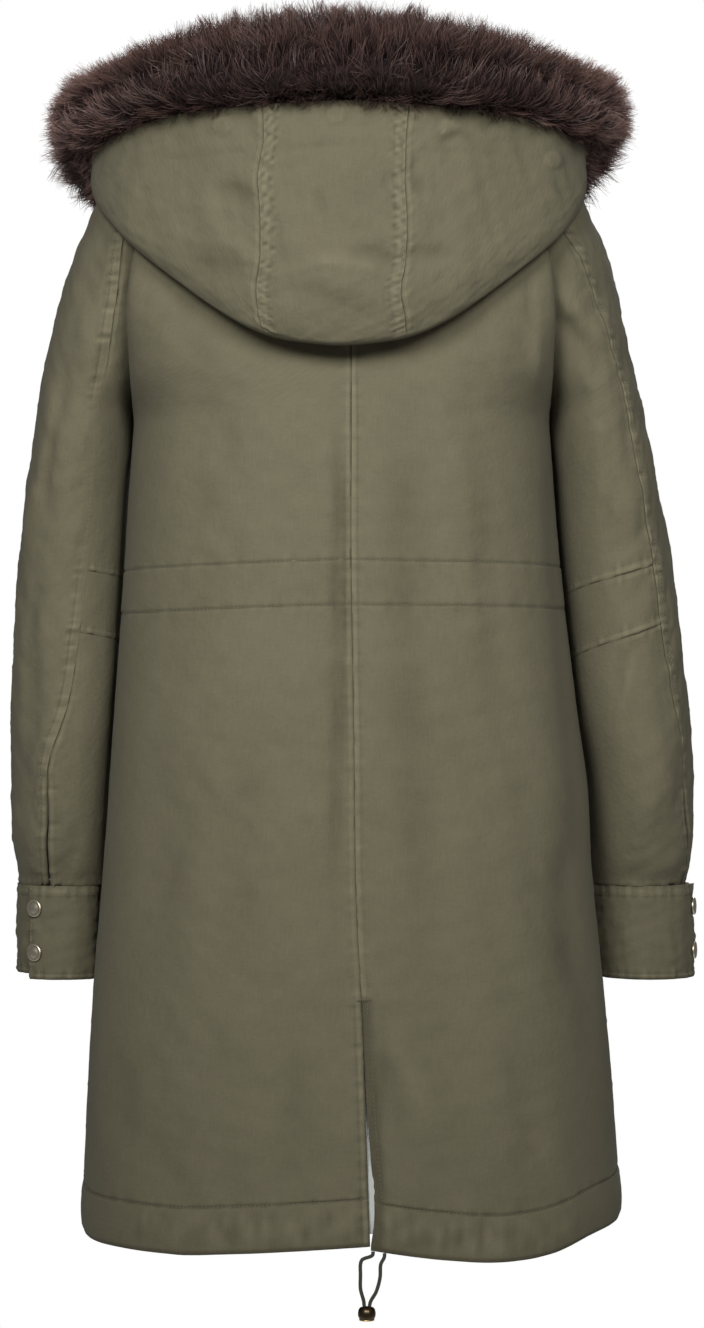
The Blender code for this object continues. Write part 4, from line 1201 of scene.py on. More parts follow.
# %% [markdown]
# ## Back and front
# The back is two panels with a centre seam that opens into a vent. Two rows of stitching cross
# it at the waist, where a cord channel is sewn behind, and one row holds the hem's casing. Cloth
# that hangs from the shoulders makes long, nearly upright folds, so the swells are stretched
# upwards. The table gives the folds and creases that stay where they are as it hangs.

# %% Creases of the back and the front
BACK_CREASES = (
    "x z to_x to_z half_width depth",
    (-3, -198, -1.5, -633, 6, -2.4),
    (3.8, -198, 3.8, -633, 3, 0.8),
    (-3.8, -340, -3.8, -388, 2.5, -1.2),
    (43.6, -198, 63.5, -652, 16, -1.6),
    (111, -262, 115.5, -515, 11, -0.9),
    (-105.6, -255, -111, -408, 12, -0.9),
    (-91, -224, -86, -285, 8, -0.7),
    (147.6, -118.5, 156, -215.6, 5, 0.9),
    (142, -121.5, 153, -174, 4, -1.0),
    (170, -564.5, 176.7, -683, 12, -1.6),
    (187.4, -568, 192, -683, 8, 1.3),
    (41.3, -709.8, 72.7, -790, 9, 0.9),
    (32.9, -721, 49, -798, 7, -1.2),
    (27.5, -683, 27.5, -860, 6, -1.8),
    (-170.6, -729, -160, -805.4, 10, -1.0),
    (-188, -690.7, -190.5, -809, 5, 1.2),
    (-69.6, -453.5, -80, -683, 18, -0.8),
    (-130.8, -468.8, -138.5, -667.7, 14, -0.8),
    (136.9, -499, 146, -667.7, 12, -0.8),
    (-31.4, -683, -39, -828, 10, -0.7),
)
FRONT_CREASES = (
    "x z to_x to_z half_width depth",
    (-150, -180, -120, -300, 8, -1.8),
    (-90, -240, -104, -640, 14, -1.4),
    (148, -170, 122, -290, 7, -1.6),
    (88, -300, 102, -700, 15, -1.3),
    (-60, -640, -72, -850, 9, 1.0),
    (160, -560, 170, -800, 12, -1.2),
)
WAIST = {  # the heights of the two rows at the waist, by x
    "back": ((-177, -2, 172), (-351.8, -345.7, -348), (-386, -380, -381.6)),
    "front": ((-177, 0, 172), (-350, -350, -350), (-385, -385, -385)),
}
print("creases:", len(BACK_CREASES) - 1, "at the back and", len(FRONT_CREASES) - 1, "in front")

# %% [markdown]
# ## The four panels of the body
# Everything that shapes a panel is added to its `soft` or its `fine` relief, and each kind of
# thing has its own function: how the cloth hangs, the centre and side seams, the waist and the
# hem. Stitching follows last, because it has to lie on the finished surface.

# %% Body panels
VENT_TOP = -681.5
VENT_STITCH = 5.7
VENT_SHOWS = 0.68  # the share of the vent's opening that the fold at its edge leaves
CENTRE_STITCH = 4.2
BULGE, BULGE_Z, BULGE_HALF = 3.0, -525.0, 45.0  # where the right side rests on the sleeve


def vent_open(height):
    return max(EDGE_GAP, VENT_SHOWS * float(Row(VENT, height).open))


def away_from_sides(panel):
    """1 where the cloth faces backwards or forwards, and 0 at the sides."""
    return 1 - ramp(np.abs(panel.out[..., 0]), 0.45, 0.85)


def hang(panel, face, half, across, heights):
    """Folds, swells and creases of cloth that hangs."""
    level = away_from_sides(panel)
    facing = ramp(np.abs(panel.out[..., 1]), 0.2, 0.6)
    panel.soft += fold_depth(face, across, heights)
    panel.soft += 0.85 * swells(panel.plain, 60, 11, (1, 1, 0.35)) * ramp(panel.low, 0, 30) * level
    panel.bent += creases(BACK_CREASES if face == "back" else FRONT_CREASES, panel, facing)
    panel.soft += panel.bent
    small = 0.30 * swells(panel.plain, 19, 12, (1, 1, 0.6)) + 0.12 * swells(panel.plain, 7, 13)
    panel.soft += small * (0.3 + 0.7 * level)
    panel.soft += 0.45 * ridges(panel.plain, 26, 14, (1, 1, 0.5)) * level
    if half == "right":
        beside_arm = ramp(panel.out[..., 0], 0.35, 0.8)
        panel.soft += BULGE * np.exp(-(((panel.z - BULGE_Z) / BULGE_HALF) ** 2)) * beside_arm


def centre_and_side(panel, back, half, heights):
    """Relief of the centre seam, of the vent below it and of the side seam."""
    over = half == "right"
    centre, side = (panel.left, panel.right) if over else (panel.right, panel.left)
    closed = seam(centre, panel.z, (CENTRE_STITCH,) if over else (), 0.2, 11, 21, 0.3 if over else -0.75)
    if back and over:
        opened = -0.9 * (1 - ramp(centre, 2.0, 12.0)) + rolled(centre, 2.0, 0.5)
    else:
        opened = seam(centre, panel.z, (VENT_STITCH,), 0.3, 10, 22) + rolled(centre)
    in_vent = 1 - ramp(heights, VENT_TOP - 3, VENT_TOP + 3) if back else 0 * heights
    panel.fine += closed * (1 - in_vent) + opened * in_vent
    panel.fine += seam(side, panel.z, (), 0.3, 12, 23, -0.3)
    return centre


def waist(panel, face):
    """The cord channel between two rows of stitching, whose heights are returned."""
    rows = [np.interp(panel.x, WAIST[face][0], WAIST[face][i]) for i in (1, 2)]
    for number, row in enumerate(rows):
        panel.fine += channel_line(panel, row, 0.2, 14, 24 + number)
    between = ramp(panel.z, rows[1] - 1, rows[1] + 4) * (1 - ramp(panel.z, rows[0] - 4, rows[0] + 1))
    panel.soft += 0.35 * between
    return rows


def hem_casing(panel, centre):
    """The casing at the foot, which is puffed and puckers under its stitching."""
    casing = HEM_STITCH - HEM
    hem = seam(panel.low - casing + 1.6, panel.x, (1.6,), 0.34, 12, 26)
    hem = hem - 0.8 * np.exp(-(((panel.low - casing) / 1.1) ** 2)) * ramp(centre, 1.0, 5.0)
    panel.fine += hem * ramp(panel.low, casing - 12, casing - 2) + rolled(panel.low, 4.0, 1.2)
    puffed = np.sin(math.pi * np.clip(panel.low / casing, 0, 1)) * away_from_sides(panel)
    panel.fine += (0.24 * waves(panel.x, 13, 27) + 0.2 * swells(panel.plain, 16, 28)) * puffed


def sew_body(panel, back, half, rows):
    """The rows of stitching of a body panel."""
    sew(panel, panel.low, HEM_STITCH - HEM, 0)
    for row in rows:
        sew(panel, panel.z - row, 0.0, 0)
    if back and half == "right":
        sew(panel, panel.left, CENTRE_STITCH, 1, (VENT_TOP - HEM) / (NECK - HEM))
    if back:
        inward = panel.left if half == "right" else panel.left - panel.left[:, -1:] + 2 * VENT_STITCH
        sew(panel, inward, VENT_STITCH, 1, 0.04, 0.185)


def body_panel(face, half):
    """One panel of the back or the front with everything that shapes its cloth."""
    back = face == "back"
    closer_at = (HEM_STITCH, -383, -349, HEM)
    heights = spread(HEM, NECK - EDGE_GAP, 3.3 if back else 5.6, closer_at)
    shares = spread(0, 240, 4.4 if back else 6.5, (0, 240), 11.0, 2.2) / 240
    plain, across = body_grid(face, half, heights, shares, vent_open if back else None)
    panel = Panel(f"{face}_{half}_cloth", plain, 1 if back else -1)
    hang(panel, face, half, across, heights[:, None])
    centre = centre_and_side(panel, back, half, heights[:, None])
    rows = waist(panel, face)
    hem_casing(panel, centre)
    sew_body(panel, back, half, rows)
    return panel


for face in ("back", "front"):
    for half in ("left", "right"):
        shell(body_panel(face, half), cloth_finish, [f"{face}_{half}"])

# %% [markdown]
# ## Placket and vent facing
# A placket covers the front opening, with a row of stitching along both edges. Behind the vent
# a pale cotton tape faces the edge, and shows where the vent gapes.

# %% Placket and tape
PLACKET_WIDTH, PLACKET_TOP, PLACKET_FOOT = 54.0, 62.0, -864.0
PLACKET_CLOTH = 2.4
PLACKET_STITCH = 6.0


def front_strip(heights, offsets):
    """Points of the front at some distances from its centre line."""
    rows = []
    for height in heights:
        line = beside_centre("front", height, offsets)
        line[:, 2] += hem_drop("front", "left", 0.0, height)
        rows.append(line)
    return np.array(rows)


def placket_panel():
    half = PLACKET_WIDTH / 2
    heights = spread(PLACKET_FOOT, PLACKET_TOP, 5.0)
    plain = front_strip(heights, spread(-half, half, 2.6, (-half, half), 6))
    panel = Panel("placket_cloth", plain, -1)
    lift = PLACKET_CLOTH + LIES_OVER
    panel.soft += lift + fold_depth("front", 0 * panel.x, heights[:, None])
    panel.soft += 0.3 * swells(plain, 30, 31) + 0.14 * swells(plain, 7, 32)
    for edge in (panel.left, panel.right):
        panel.fine += seam(edge, panel.z, (PLACKET_STITCH,), 0.35, 10, 33) + rolled(edge, 2.0, 0.8)
    panel.fine += rolled(panel.low, 2.5, 0.8) + rolled(panel.high, 2.5, 0.8)
    sew(panel, panel.left, PLACKET_STITCH)
    sew(panel, panel.left - panel.left[:, -1:] + 2 * PLACKET_STITCH, PLACKET_STITCH)
    return panel


shell(placket_panel(), cloth_finish, ["placket"], thick=1.9)

TAPE_WIDTH, TAPE_TOP, TAPE_FOOT, TAPE_BEHIND = 15.0, -738.0, -858.0, 4.6
UNDYED = (0.62, 0.64, 0.60, 1.0)
tape_finish = canvas("pale_tape", wear_and_shade=0.4, dyes=(UNDYED, UNDYED))


def tape_panel():
    """The tape behind the vent, which starts at the left panel's edge."""
    heights = spread(TAPE_FOOT, TAPE_TOP, 5.0)
    offsets = np.linspace(-2.0, TAPE_WIDTH, 13)
    plain = np.array([beside_centre("back", height, offsets) for height in heights])
    panel = Panel("vent_tape", plain, 1)
    panel.soft += fold_depth("back", 0 * panel.x, heights[:, None]) - TAPE_BEHIND
    return panel


shell(tape_panel(), tape_finish, [], thick=0.5)

# %% [markdown]
# ## Sleeves
# Each raglan sleeve has a large top piece and three under pieces, with an elbow piece between two
# slanting seams. Sleeves crease at the shoulder, above and below the elbow and towards the wrist.
# The creases seen from behind are listed for each arm, and those in front are mirrored.

# %% Creases of the sleeves
SLEEVE_CREASES = {
    "left": (
        "x z to_x to_z half_width depth",
        (-226, -187.6, -244.4, -314.8, 4, 1.0),
        (-220.4, -187.6, -236.4, -314.8, 4, -1.0),
        (-249, -326.8, -255.6, -502.8, 4, 0.8),
        (-241, -342.8, -246, -502.8, 5, -0.8),
        (-193, -422.8, -190, -518.8, 6, -0.8),
        (-201, -441, -187, -441, 1.5, -0.6),
    ),
    "right": (
        "x z to_x to_z half_width depth",
        (159.6, -151.6, 210.8, -191.6, 9, -1.6),
        (162.8, -134.8, 206.8, -170.8, 8, 1.2),
        (174.8, -230.8, 179.6, -342.8, 6, -1.2),
        (187.6, -310.8, 206.8, -278.8, 6, 1.3),
        (198.8, -326.8, 216.4, -294.8, 5, -1.1),
        (179.6, -270.8, 190.8, -302.8, 5, -1.0),
        (185.2, -426, 211.6, -435.6, 4.5, -2.2),
        (234, -406.8, 202, -526.8, 4, 1.6),
        (224.4, -406.8, 192.4, -526.8, 6, -1.6),
        (206.8, -534.8, 198.8, -598.8, 5, -0.8),
        (174.8, -82.8, 184.4, -104.4, 5, -1.2),
    ),
}
SLEEVE_FRONT_CREASES = {
    arm: (
        "x z to_x to_z half_width depth",
        (side * 170, -190, side * 225, -250, 9, -2.0),
        (side * 240, -330, side * 200, -372, 7, -1.6),
        (side * 255, -372, side * 206, -405, 6, 1.4),
        (side * 228, -420, side * 222, -560, 8, -1.0),
    )
    for arm, side in (("left", -1), ("right", 1))
}
print("creases at the back:", {arm: len(table) - 1 for arm, table in SLEEVE_CREASES.items()})

# %% [markdown]
# ## The pieces of a sleeve
# The rows of a piece follow the slanting elbow seams, so that its lower and upper edges lie on
# them. The back seam is topstitched on the top piece, so that side puckers more. Near the wrist
# the seam is left open as a slit, and its edges roll in.

# %% Sleeve pieces
UNDERARM_GAP = 0.4
BACK_STITCH, SLIT_STITCH, ELBOW_STITCH = 7.0, 5.5, 6.0


def sleeve_rows(arm):
    """Heights at the back seam and at the underarm, on which the sleeve's rows are laid out, and
    the two elbow seams' heights at the back seam."""
    (lower, lower_drop), (upper, upper_drop) = ELBOW[arm]
    at_back = np.array((CUFF_SEAM, lower, upper, UNDERARM, NECK))
    return at_back, at_back - (0, lower_drop, upper_drop, 0, 0), lower, upper


def slit(arm, height):
    """Half the gap at the back seam: wider where the slit is open."""
    return EDGE_GAP + SLIT_OPEN[arm] / 2 * (1 - ramp(height, SLIT_TOP - 60, SLIT_TOP))


def sleeve_piece(arm, part, low, high, shares):
    """The plain grid of a sleeve's piece between two heights at its back seam."""
    at_back, at_underarm, *_ = sleeve_rows(arm)
    rows = spread(low + EDGE_GAP, high - EDGE_GAP, 3.3, sleeve_rows(arm)[2:], 9, 1.2)[:, None]
    under = np.interp(rows, at_back, at_underarm)
    if part == "top":
        heights = rows + (under - rows) * shares
        reach, back_seam = sleeve_reach(heights), sleeve_seam(arm, heights)
        first = back_seam + degrees_for(arm, heights, back_seam, slit(arm, heights))
        last = reach - degrees_for(arm, heights, reach - 1, UNDERARM_GAP)
    else:
        heights = under + (rows - under) * shares
        reach, back_seam = sleeve_reach(heights), sleeve_seam(arm, heights)
        first = -reach + degrees_for(arm, heights, 1 - reach, UNDERARM_GAP)
        last = back_seam - degrees_for(arm, heights, back_seam, slit(arm, heights))
    return sleeve_surface(arm, heights, first + (last - first) * shares), heights


def sleeve_panel(arm, part, low, high):
    top = part == "top"
    if top:
        shares = spread(0, 300, 4.6, (0, 6, 12), 10, 2.2) / 300
    else:
        shares = spread(0, 130, 4.2, (0, 130), 8, 1.6) / 130
    plain, heights = sleeve_piece(arm, part, low, high, shares)
    panel = Panel(f"sleeve_{part}_{arm}_cloth", plain, sign_of(arm))
    towards_body = -sign_of(arm) * panel.out[..., 0]
    free = 1 - ramp(towards_body, 0.15, 0.6) * (1 - ramp(heights, -200, -120))
    quiet = free * ramp(panel.low + 40 * (part in ("elbow", "upper")), 0, 26)
    panel.soft += 0.8 * swells(plain, 46, 41 + (arm == "left"), (1, 1, 0.6)) * quiet
    back_facing, front_facing = ramp(-panel.out[..., 1], 0.05, 0.4), ramp(panel.out[..., 1], 0.1, 0.5)
    panel.bent += creases(SLEEVE_CREASES[arm], panel, back_facing * free)
    panel.bent += creases(SLEEVE_FRONT_CREASES[arm], panel, front_facing * free)
    panel.soft += panel.bent
    small = 0.32 * swells(plain, 17, 43, (1, 1, 0.7)) + 0.14 * swells(plain, 6.5, 44)
    panel.soft += small * (0.25 + 0.75 * free)
    panel.soft += 0.5 * ridges(plain, 24, 45) * free
    open_slit = 1 - ramp(heights, SLIT_TOP - 14, SLIT_TOP)
    back_seam = panel.left if top else panel.right
    stitched = (BACK_STITCH,) if top else ()
    closed = seam(back_seam, panel.z, stitched, 0.7 if top else 0.2, 8.0, 46, 0.3 if top else -0.9)
    opened = seam(back_seam, panel.z, (SLIT_STITCH,), 0.4, 7.0, 47) + rolled(back_seam)
    panel.fine += (closed * (1 - open_slit) + opened * open_slit) * free
    panel.fine += seam(panel.right if top else panel.left, panel.z, (), 0.2, 10, 48) * free
    panel.fine += seam(panel.low, panel.left, (), 0.3, 8, 49, -0.5)
    if not top:
        stitched = (ELBOW_STITCH,) if part in ("elbow", "upper") else ()
        panel.fine += seam(panel.low, panel.left, stitched, 0.42, 8, 50, 0.35) * free
        if part != "upper":
            panel.fine += seam(panel.high, panel.left, (), 0.3, 8, 50, -0.8) * free
        if stitched:
            sew(panel, panel.low, ELBOW_STITCH, 0, 0.0, 0.97)
    if top:
        sew(panel, panel.left, BACK_STITCH, 1, 0.135, 1.0)
        sew(panel, panel.left, SLIT_STITCH, 1, 0.0, 0.125)
    return panel


for arm in ("left", "right"):
    *_, lower, upper = sleeve_rows(arm)
    stretches = (
        ("top", CUFF_SEAM, NECK),
        ("lower", CUFF_SEAM, lower),
        ("elbow", lower, upper),
        ("upper", upper, NECK),
    )
    for part, low, high in stretches:
        shell(sleeve_panel(arm, part, low, high), cloth_finish, [f"sleeve_{part}_{arm}"])

# %% [markdown]
# ## Cuffs
# A cuff is a doubled band that runs once round the wrist and on over its own beginning, where two
# snaps hold it. It is stitched twice along the top and once along the bottom, and the
# overlap's end is stitched down its edge.

# %% Cuffs
CUFF_MIDDLE = {"left": -70.0, "right": -28.0}  # the turn at which the overlap's middle lies
CUFF_OVERLAP = 20.0  # degrees, half of the overlap
CUFF_CLOTH = 2.6
CUFF_STEP = CUFF_CLOTH + 0.9
CUFF_LIFT = 4.0
CUFF_TAPER = 0.5
CUFF_TOP_ROWS, CUFF_FOOT_ROW, CUFF_END_ROW = (1.6, 7.5), 5.0, 3.0


def cuff_panel(arm):
    start = CUFF_MIDDLE[arm] - CUFF_OVERLAP
    whole = 360 + 2 * CUFF_OVERLAP
    sweep = spread(0, whole, 3.0, (whole,), 10, 1.5)[None, :]
    over = ramp(sweep, 2 * CUFF_OVERLAP, 360.0)
    foot = CUFF_FOOT + CUFF_LIFT * (1 - over)
    up = spread(0, 1, 0.027, (0, 1), 0.08, 0.7)[:, None]
    heights = foot + (CUFF_SEAM - EDGE_GAP - foot) * up
    straight = CUFF_FOOT + (heights - CUFF_FOOT) * CUFF_TAPER
    plain = sleeve_surface(arm, straight, start + sweep, CUFF_STEP * (over + 0 * heights))
    plain[..., 2] = heights
    panel = Panel(f"cuff_{arm}_cloth", plain, sign_of(arm))
    panel.soft += 0.35 * swells(plain, 34, 51, (1, 1, 1.4))
    panel.soft += 0.26 * swells(plain, 12, 52) + 0.15 * swells(plain, 6, 53)
    panel.fine += seam(panel.high, panel.left, CUFF_TOP_ROWS, 0.34, 8.5, 54, 0.2)
    panel.fine += seam(panel.low, panel.left, (CUFF_FOOT_ROW,), 0.34, 9.0, 55) + rolled(panel.low, 3, 1.0)
    panel.fine += seam(panel.right, panel.z, (CUFF_END_ROW,), 0.4, 7.0, 56) + rolled(panel.right, 2.2, 0.9)
    for distance in CUFF_TOP_ROWS:
        sew(panel, panel.low - panel.low[-1:] + 10, 10 - distance, 0)
    sew(panel, panel.low, CUFF_FOOT_ROW, 0)
    sew(panel, panel.left - panel.left[:, -1:] + 2 * CUFF_END_ROW, CUFF_END_ROW)
    return panel


for arm in ("left", "right"):
    shell(cuff_panel(arm), cuff_finish, [f"cuff_{arm}"], thick=2.2, contrast=1.1)

# %% [markdown]
# ## Hood
# The hood lies open on the back: from the neckline it rises to a rim, comes down behind it to a
# fold, and runs up again to the trim. The part that shows from behind has soft creases, and the
# buttons that hold the trim press through the cloth from inside as round bumps.

# %% Creases of the hood
HOOD_CREASES = (
    "x z to_x to_z half_width depth",
    (-99.3, -64.6, -63.1, -77.4, 8, -1.6),
    (-107.6, -67.6, -83.5, -110.5, 8, 1.3),
    (-83.5, -110.5, -63.1, -121, 8, 1.2),
    (-116.6, -114.3, -68.4, -133.1, 10, -1.6),
    (-16.4, -67.6, -13.4, -93.2, 4, -1.3),
    (5.4, -112, 43, -124.8, 6, -2.2),
    (-30.8, -123.3, 40.8, -130.8, 5, 1.2),
    (-38.3, -144.4, 24.2, -161.7, 8, -1.5),
    (57.3, -44.2, 55.8, -57.8, 4, -1.5),
    (55.8, -57.8, 61.9, -72.9, 4, -1.5),
    (74.7, -31.4, 91.2, -23.9, 3.5, -1.3),
    (91.2, -23.9, 109.3, -36.7, 3.5, -1.3),
    (74.7, -26.5, 91.2, -19.0, 4, 0.9),
    (46, -121, 87.5, -114.3, 6, -1.6),
    (67.1, -144.4, 150, -87.9, 14, 0.8),
    (165, -54, 174, -65.3, 3, -1.0),
    (-145, -38, -65, -40, 2.2, -0.6),
    (-60, -36, 40, -37, 2.2, -0.6),
    (50, -38, 140, -42, 2.2, -0.6),
)
HOOD_BUTTONS = ((-88.7, -17.9), (-3.6, -12.7), (80.7, -20.9), (162.8, -38.2))  # x and z
BUTTON_RADIUS = 7.0


def buttons(panel, facing):
    """Round bumps, painted lighter round their edge as a highlight, each with a faint ring of painted shade
    round it.
    """
    for x, z in HOOD_BUTTONS:
        off = np.hypot(panel.x - x, panel.z - z) / BUTTON_RADIUS
        felt = (1 - ramp(off, 0.7, 1.1)) * facing
        ring = np.exp(-(((off - 1.15) / 0.2) ** 2)) * facing
        panel.soft += 1.2 * felt
        # These only colour the cloth: a painted highlight round the bump's edge and a painted shade in the
        # ring round it.
        panel.bent += 2.2 * felt * ramp(off, 0.35, 0.8) - 1.2 * ring


print("creases of the hood:", len(HOOD_CREASES) - 1, "and buttons:", len(HOOD_BUTTONS))

# %% [markdown]
# ## The hood's three panels
# Two seams bound the centre panel, each with two rows of stitching on the panel's side, so the
# cloth between them puckers like a ladder. The side panels dip under the seams.

# %% Hood panels
HOOD_BAND = (1.7, 8.2)


def beside(side, way):
    """The angle just beside a centre panel seam, at each place down the hood."""

    def angle(down):
        turn = hood_seam(side, down)
        r = np.linalg.norm(hood_plain(0.0 * down, down)[..., :2] - (0, NECK_AXIS_Y), axis=-1)
        return turn + way * np.degrees(EDGE_GAP / r)

    return angle


def end_at(value):
    return lambda down: value + 0 * down


def hood_panel(word, first, last, shares):
    down = spread(0, 1, 0.0071, (0.52,), 0.05, 0.6)
    plain = hood_grid(first, last, down, shares)
    panel = Panel(f"hood_{word}_cloth", plain, 1)
    facing = ramp(-panel.out[..., 1], -0.1, 0.35) * ramp(down[:, None], 0.5, 0.56)
    free = 0.15 + 0.85 * ramp(-panel.out[..., 1] + 0.6 * panel.out[..., 2], 0.0, 0.5)
    panel.soft += 0.6 * swells(plain, 40, 61) * free * ramp(panel.low, 4, 20)
    panel.bent += creases(HOOD_CREASES, panel, facing)
    panel.soft += panel.bent
    buttons(panel, facing)
    panel.soft += (0.32 * swells(plain, 15, 62) + 0.15 * swells(plain, 6, 63)) * free
    panel.soft += 0.55 * ridges(plain, 20, 64) * free
    for name, edge, seed in (("left", panel.left, 69), ("right", panel.right, 70)):
        if word == "centre":
            panel.fine += seam(edge, panel.low, HOOD_BAND, 0.75, 5.2, seed, 0.35) * free
        elif name != word:
            panel.fine += seam(edge, panel.low, (), 0.25, 9, 67, -1.0) * free
    if word == "centre":
        for distance in HOOD_BAND:
            sew(panel, panel.left, distance)
            sew(panel, panel.left - panel.left[:, -1:] + 10, 10 - distance)
    return panel


SEAM_TURN = 18  # degrees, about where the centre panel's seams lie
half_turn = spread(SEAM_TURN, HOOD_END, 1.15, (SEAM_TURN,), 6, 1.2)
side_shares = (half_turn - SEAM_TURN) / (HOOD_END - SEAM_TURN)
centre_shares = spread(0, 110, 2.4, (0, 110), 12, 1.1) / 110
for word, first, last, shares in (
    ("left", end_at(-HOOD_END), beside(-1, -1), 1 - side_shares[::-1]),
    ("centre", beside(-1, 1), beside(1, -1), centre_shares),
    ("right", beside(1, 1), end_at(HOOD_END), side_shares),
):
    shell(hood_panel(word, first, last, shares), hood_shaded_finish, [f"hood_{word}"], thin=(1, 3))

# %% [markdown]
# ## Stitches
# Lockstitch shows as a row of short threads that dive into the cloth at both ends. Each stitch
# here is a small raised lozenge, turned to follow its row. There are thousands, so they are
# worked out as arrays and joined into one mesh.

# %% Stitches
STITCH_PITCH, STITCH_LENGTH, STITCH_WIDE, STITCH_HIGH = 3.3, 2.6, 0.62, 0.34


def stitches_along(points, out):
    """Eight corners for each stitch on a row."""
    run = along(points)
    starts = np.arange(1.0, run[-1] - STITCH_LENGTH, STITCH_PITCH)
    start, up = (at_places(starts, run, line) for line in (points, out))
    end = at_places(starts + STITCH_LENGTH, run, points)
    up /= np.linalg.norm(up, axis=-1, keepdims=True)
    way = end - start
    side = np.cross(up, way)
    side *= STITCH_WIDE / 2 / np.linalg.norm(side, axis=-1, keepdims=True)
    near, far = start + 0.24 * way, start + 0.76 * way
    high, low = up * STITCH_HIGH, up * 0.12
    corners = (start - 2 * low, near + high, far + high, end - 2 * low)
    corners += (near + side - low, far + side - low, near - side - low, far - side - low)
    return np.stack(corners, 1)


STITCH_THREES = ((0, 1, 4), (0, 6, 1), (5, 2, 3), (2, 7, 3))
STITCH_FOURS = ((4, 1, 2, 5), (1, 6, 7, 2))
STITCH_MAP = ((0, 0), (1, 0), (2, 0), (3, 0), (1, 1), (2, 1), (1, -1), (2, -1))


def add_stitches(name, rows):
    """The joined stitches of some rows."""
    points = np.concatenate([stitches_along(*row) for row in rows if len(row[0]) > 3])
    first = np.arange(len(points))[:, None] * 8
    faces = [
        np.concatenate([first + np.array(corners) for corners in kind])
        for kind in (STITCH_THREES, STITCH_FOURS)
    ]
    weave = np.tile(np.array(STITCH_MAP) * MM, (len(points), 1))
    made = add_mesh(name, points.reshape(-1, 3), faces, thread_finish, weave=weave)
    own(made, [])
    print(name, len(points), "stitches")


add_stitches("stitching", STITCHED)

# %% [markdown]
# ## Bar tack
# A bar tack closes the vent's top: a tight row of short threads across the seam.

# %% Bar tack
TACK_WIDTH, TACK_ROWS, TACK_BEFORE, TACK_HALF = 11.0, 9, 3.0, 2.4


def bar_tack():
    lines = []
    offsets = np.linspace(-TACK_BEFORE, TACK_WIDTH - TACK_BEFORE, TACK_ROWS)
    for spot in beside_centre("back", VENT_TOP, offsets):
        reach = np.linspace(-TACK_HALF, TACK_HALF, 8)[:, None] * (0.25, 0, 1.0) + (0, -0.3, 0)
        lines.append((spot + reach, np.tile((0, -1.0, 0), (8, 1))))
    add_stitches("vent_tack", lines)


bar_tack()

# %% [markdown]
# ## The trim's backing
# Under the pile lies a soft core, smaller than the trim's solid all round. It is hidden by hairs
# almost everywhere, and it is painted nearly black as the shade deep in the pile, and keeps the
# light from passing through. A table gives how far the hairs' tips stay inside the solid, so the
# outline follows the pile's own.
# Underneath, the core nearly fills the solid, except in the two lobes at the sides.

# %% Backing
PILE, PILE_BELOW = 16.0, 2.5
LOBE_DEEPER = 12.0
LOBE_BEGINS, LOBE_ENDS = (68, 84), (104, 118)  # degrees round the neck
SPARE = (
    "turn spare",
    (0, 3),
    (16, 4),
    (32, 8),
    (52, 10),
    (70, 9),
    (95, 9),
    (115, 5),
    (140, 0),
    (175, 0),
)


def core_depth(turns, spins):
    """How far the core lies under the trim's solid: less far below, next to the hood."""
    below = ramp(-np.sin(spins), 0.25, 0.9)
    lobe = ramp(np.abs(turns), *LOBE_BEGINS) * (1 - ramp(np.abs(turns), *LOBE_ENDS))
    lobe = lobe * ramp(np.cos(spins), -0.3, 0.3)
    deep_below = PILE_BELOW + LOBE_DEEPER * lobe
    return (PILE + Row(SPARE, np.abs(turns)).spare) * (1 - below) + deep_below * below


def fur_grid(rows, columns):
    """Points and outward normals of the core."""
    turns = np.linspace(-HOOD_END, HOOD_END, rows)[:, None]
    spins = np.linspace(0, TURN, columns + 1)[None, :]
    grid = fur_surface(turns, spins, -core_depth(turns, spins))
    return grid, normals(grid, -1)


def add_backing():
    rows, columns = 150, 48
    grid, out = fur_grid(rows, columns)
    grid = grid + out * (1.1 * swells(grid, 9, 71) + 0.8 * swells(grid, 4.5, 72))[..., None]
    points = grid[:, :-1].reshape(-1, 3)
    sides, caps = tube_faces(rows, columns)
    faces = [sides[:, [0, 3, 2, 1]], caps[:, ::-1]]  # turned round, to face outwards
    made = own(add_mesh("trim_backing", points, faces, backing_finish), ["fur_trim"])
    print(made.name, len(made.data.polygons), "faces")


add_backing()

# %% [markdown]
# ## How the pile is combed
# At the back of the neck the pile is combed up, towards the shoulders outward, and at the front
# down. A table gives that direction by the angle round the neck, and underneath the pile turns
# away from the hood. Roots are scattered over the core, more thinly on the side that faces the
# neck.

# %% Combing
COMB = (
    "turn angle",
    (0, 88),
    (24, 84),
    (44, 66),
    (60, 44),
    (74, 20),
    (88, 0),
    (100, -14),
    (112, -24),
    (134, -40),
    (156, -50),
    (175, -60),
)
FUR_CORE, FUR_OUT = fur_grid(361, 96)
NECK_SIDE = 2.2  # the spin from which a root faces the neck


def on_core(rows, columns):
    """Points and normals at fractional places of the core's grid."""
    v, u = np.floor(rows).astype(int), np.floor(columns).astype(int)
    v, u = np.clip(v, 0, FUR_CORE.shape[0] - 2), np.clip(u, 0, FUR_CORE.shape[1] - 2)
    a, b = (rows - v)[:, None], (columns - u)[:, None]
    found = []
    for array in (FUR_CORE, FUR_OUT):
        low = array[v, u] * (1 - b) + array[v, u + 1] * b
        high = array[v + 1, u] * (1 - b) + array[v + 1, u + 1] * b
        found.append(low * (1 - a) + high * a)
    return found[0], found[1] / np.linalg.norm(found[1], axis=-1, keepdims=True)


def unit(vectors):
    return vectors / np.maximum(np.linalg.norm(vectors, axis=-1, keepdims=True), 1e-9)


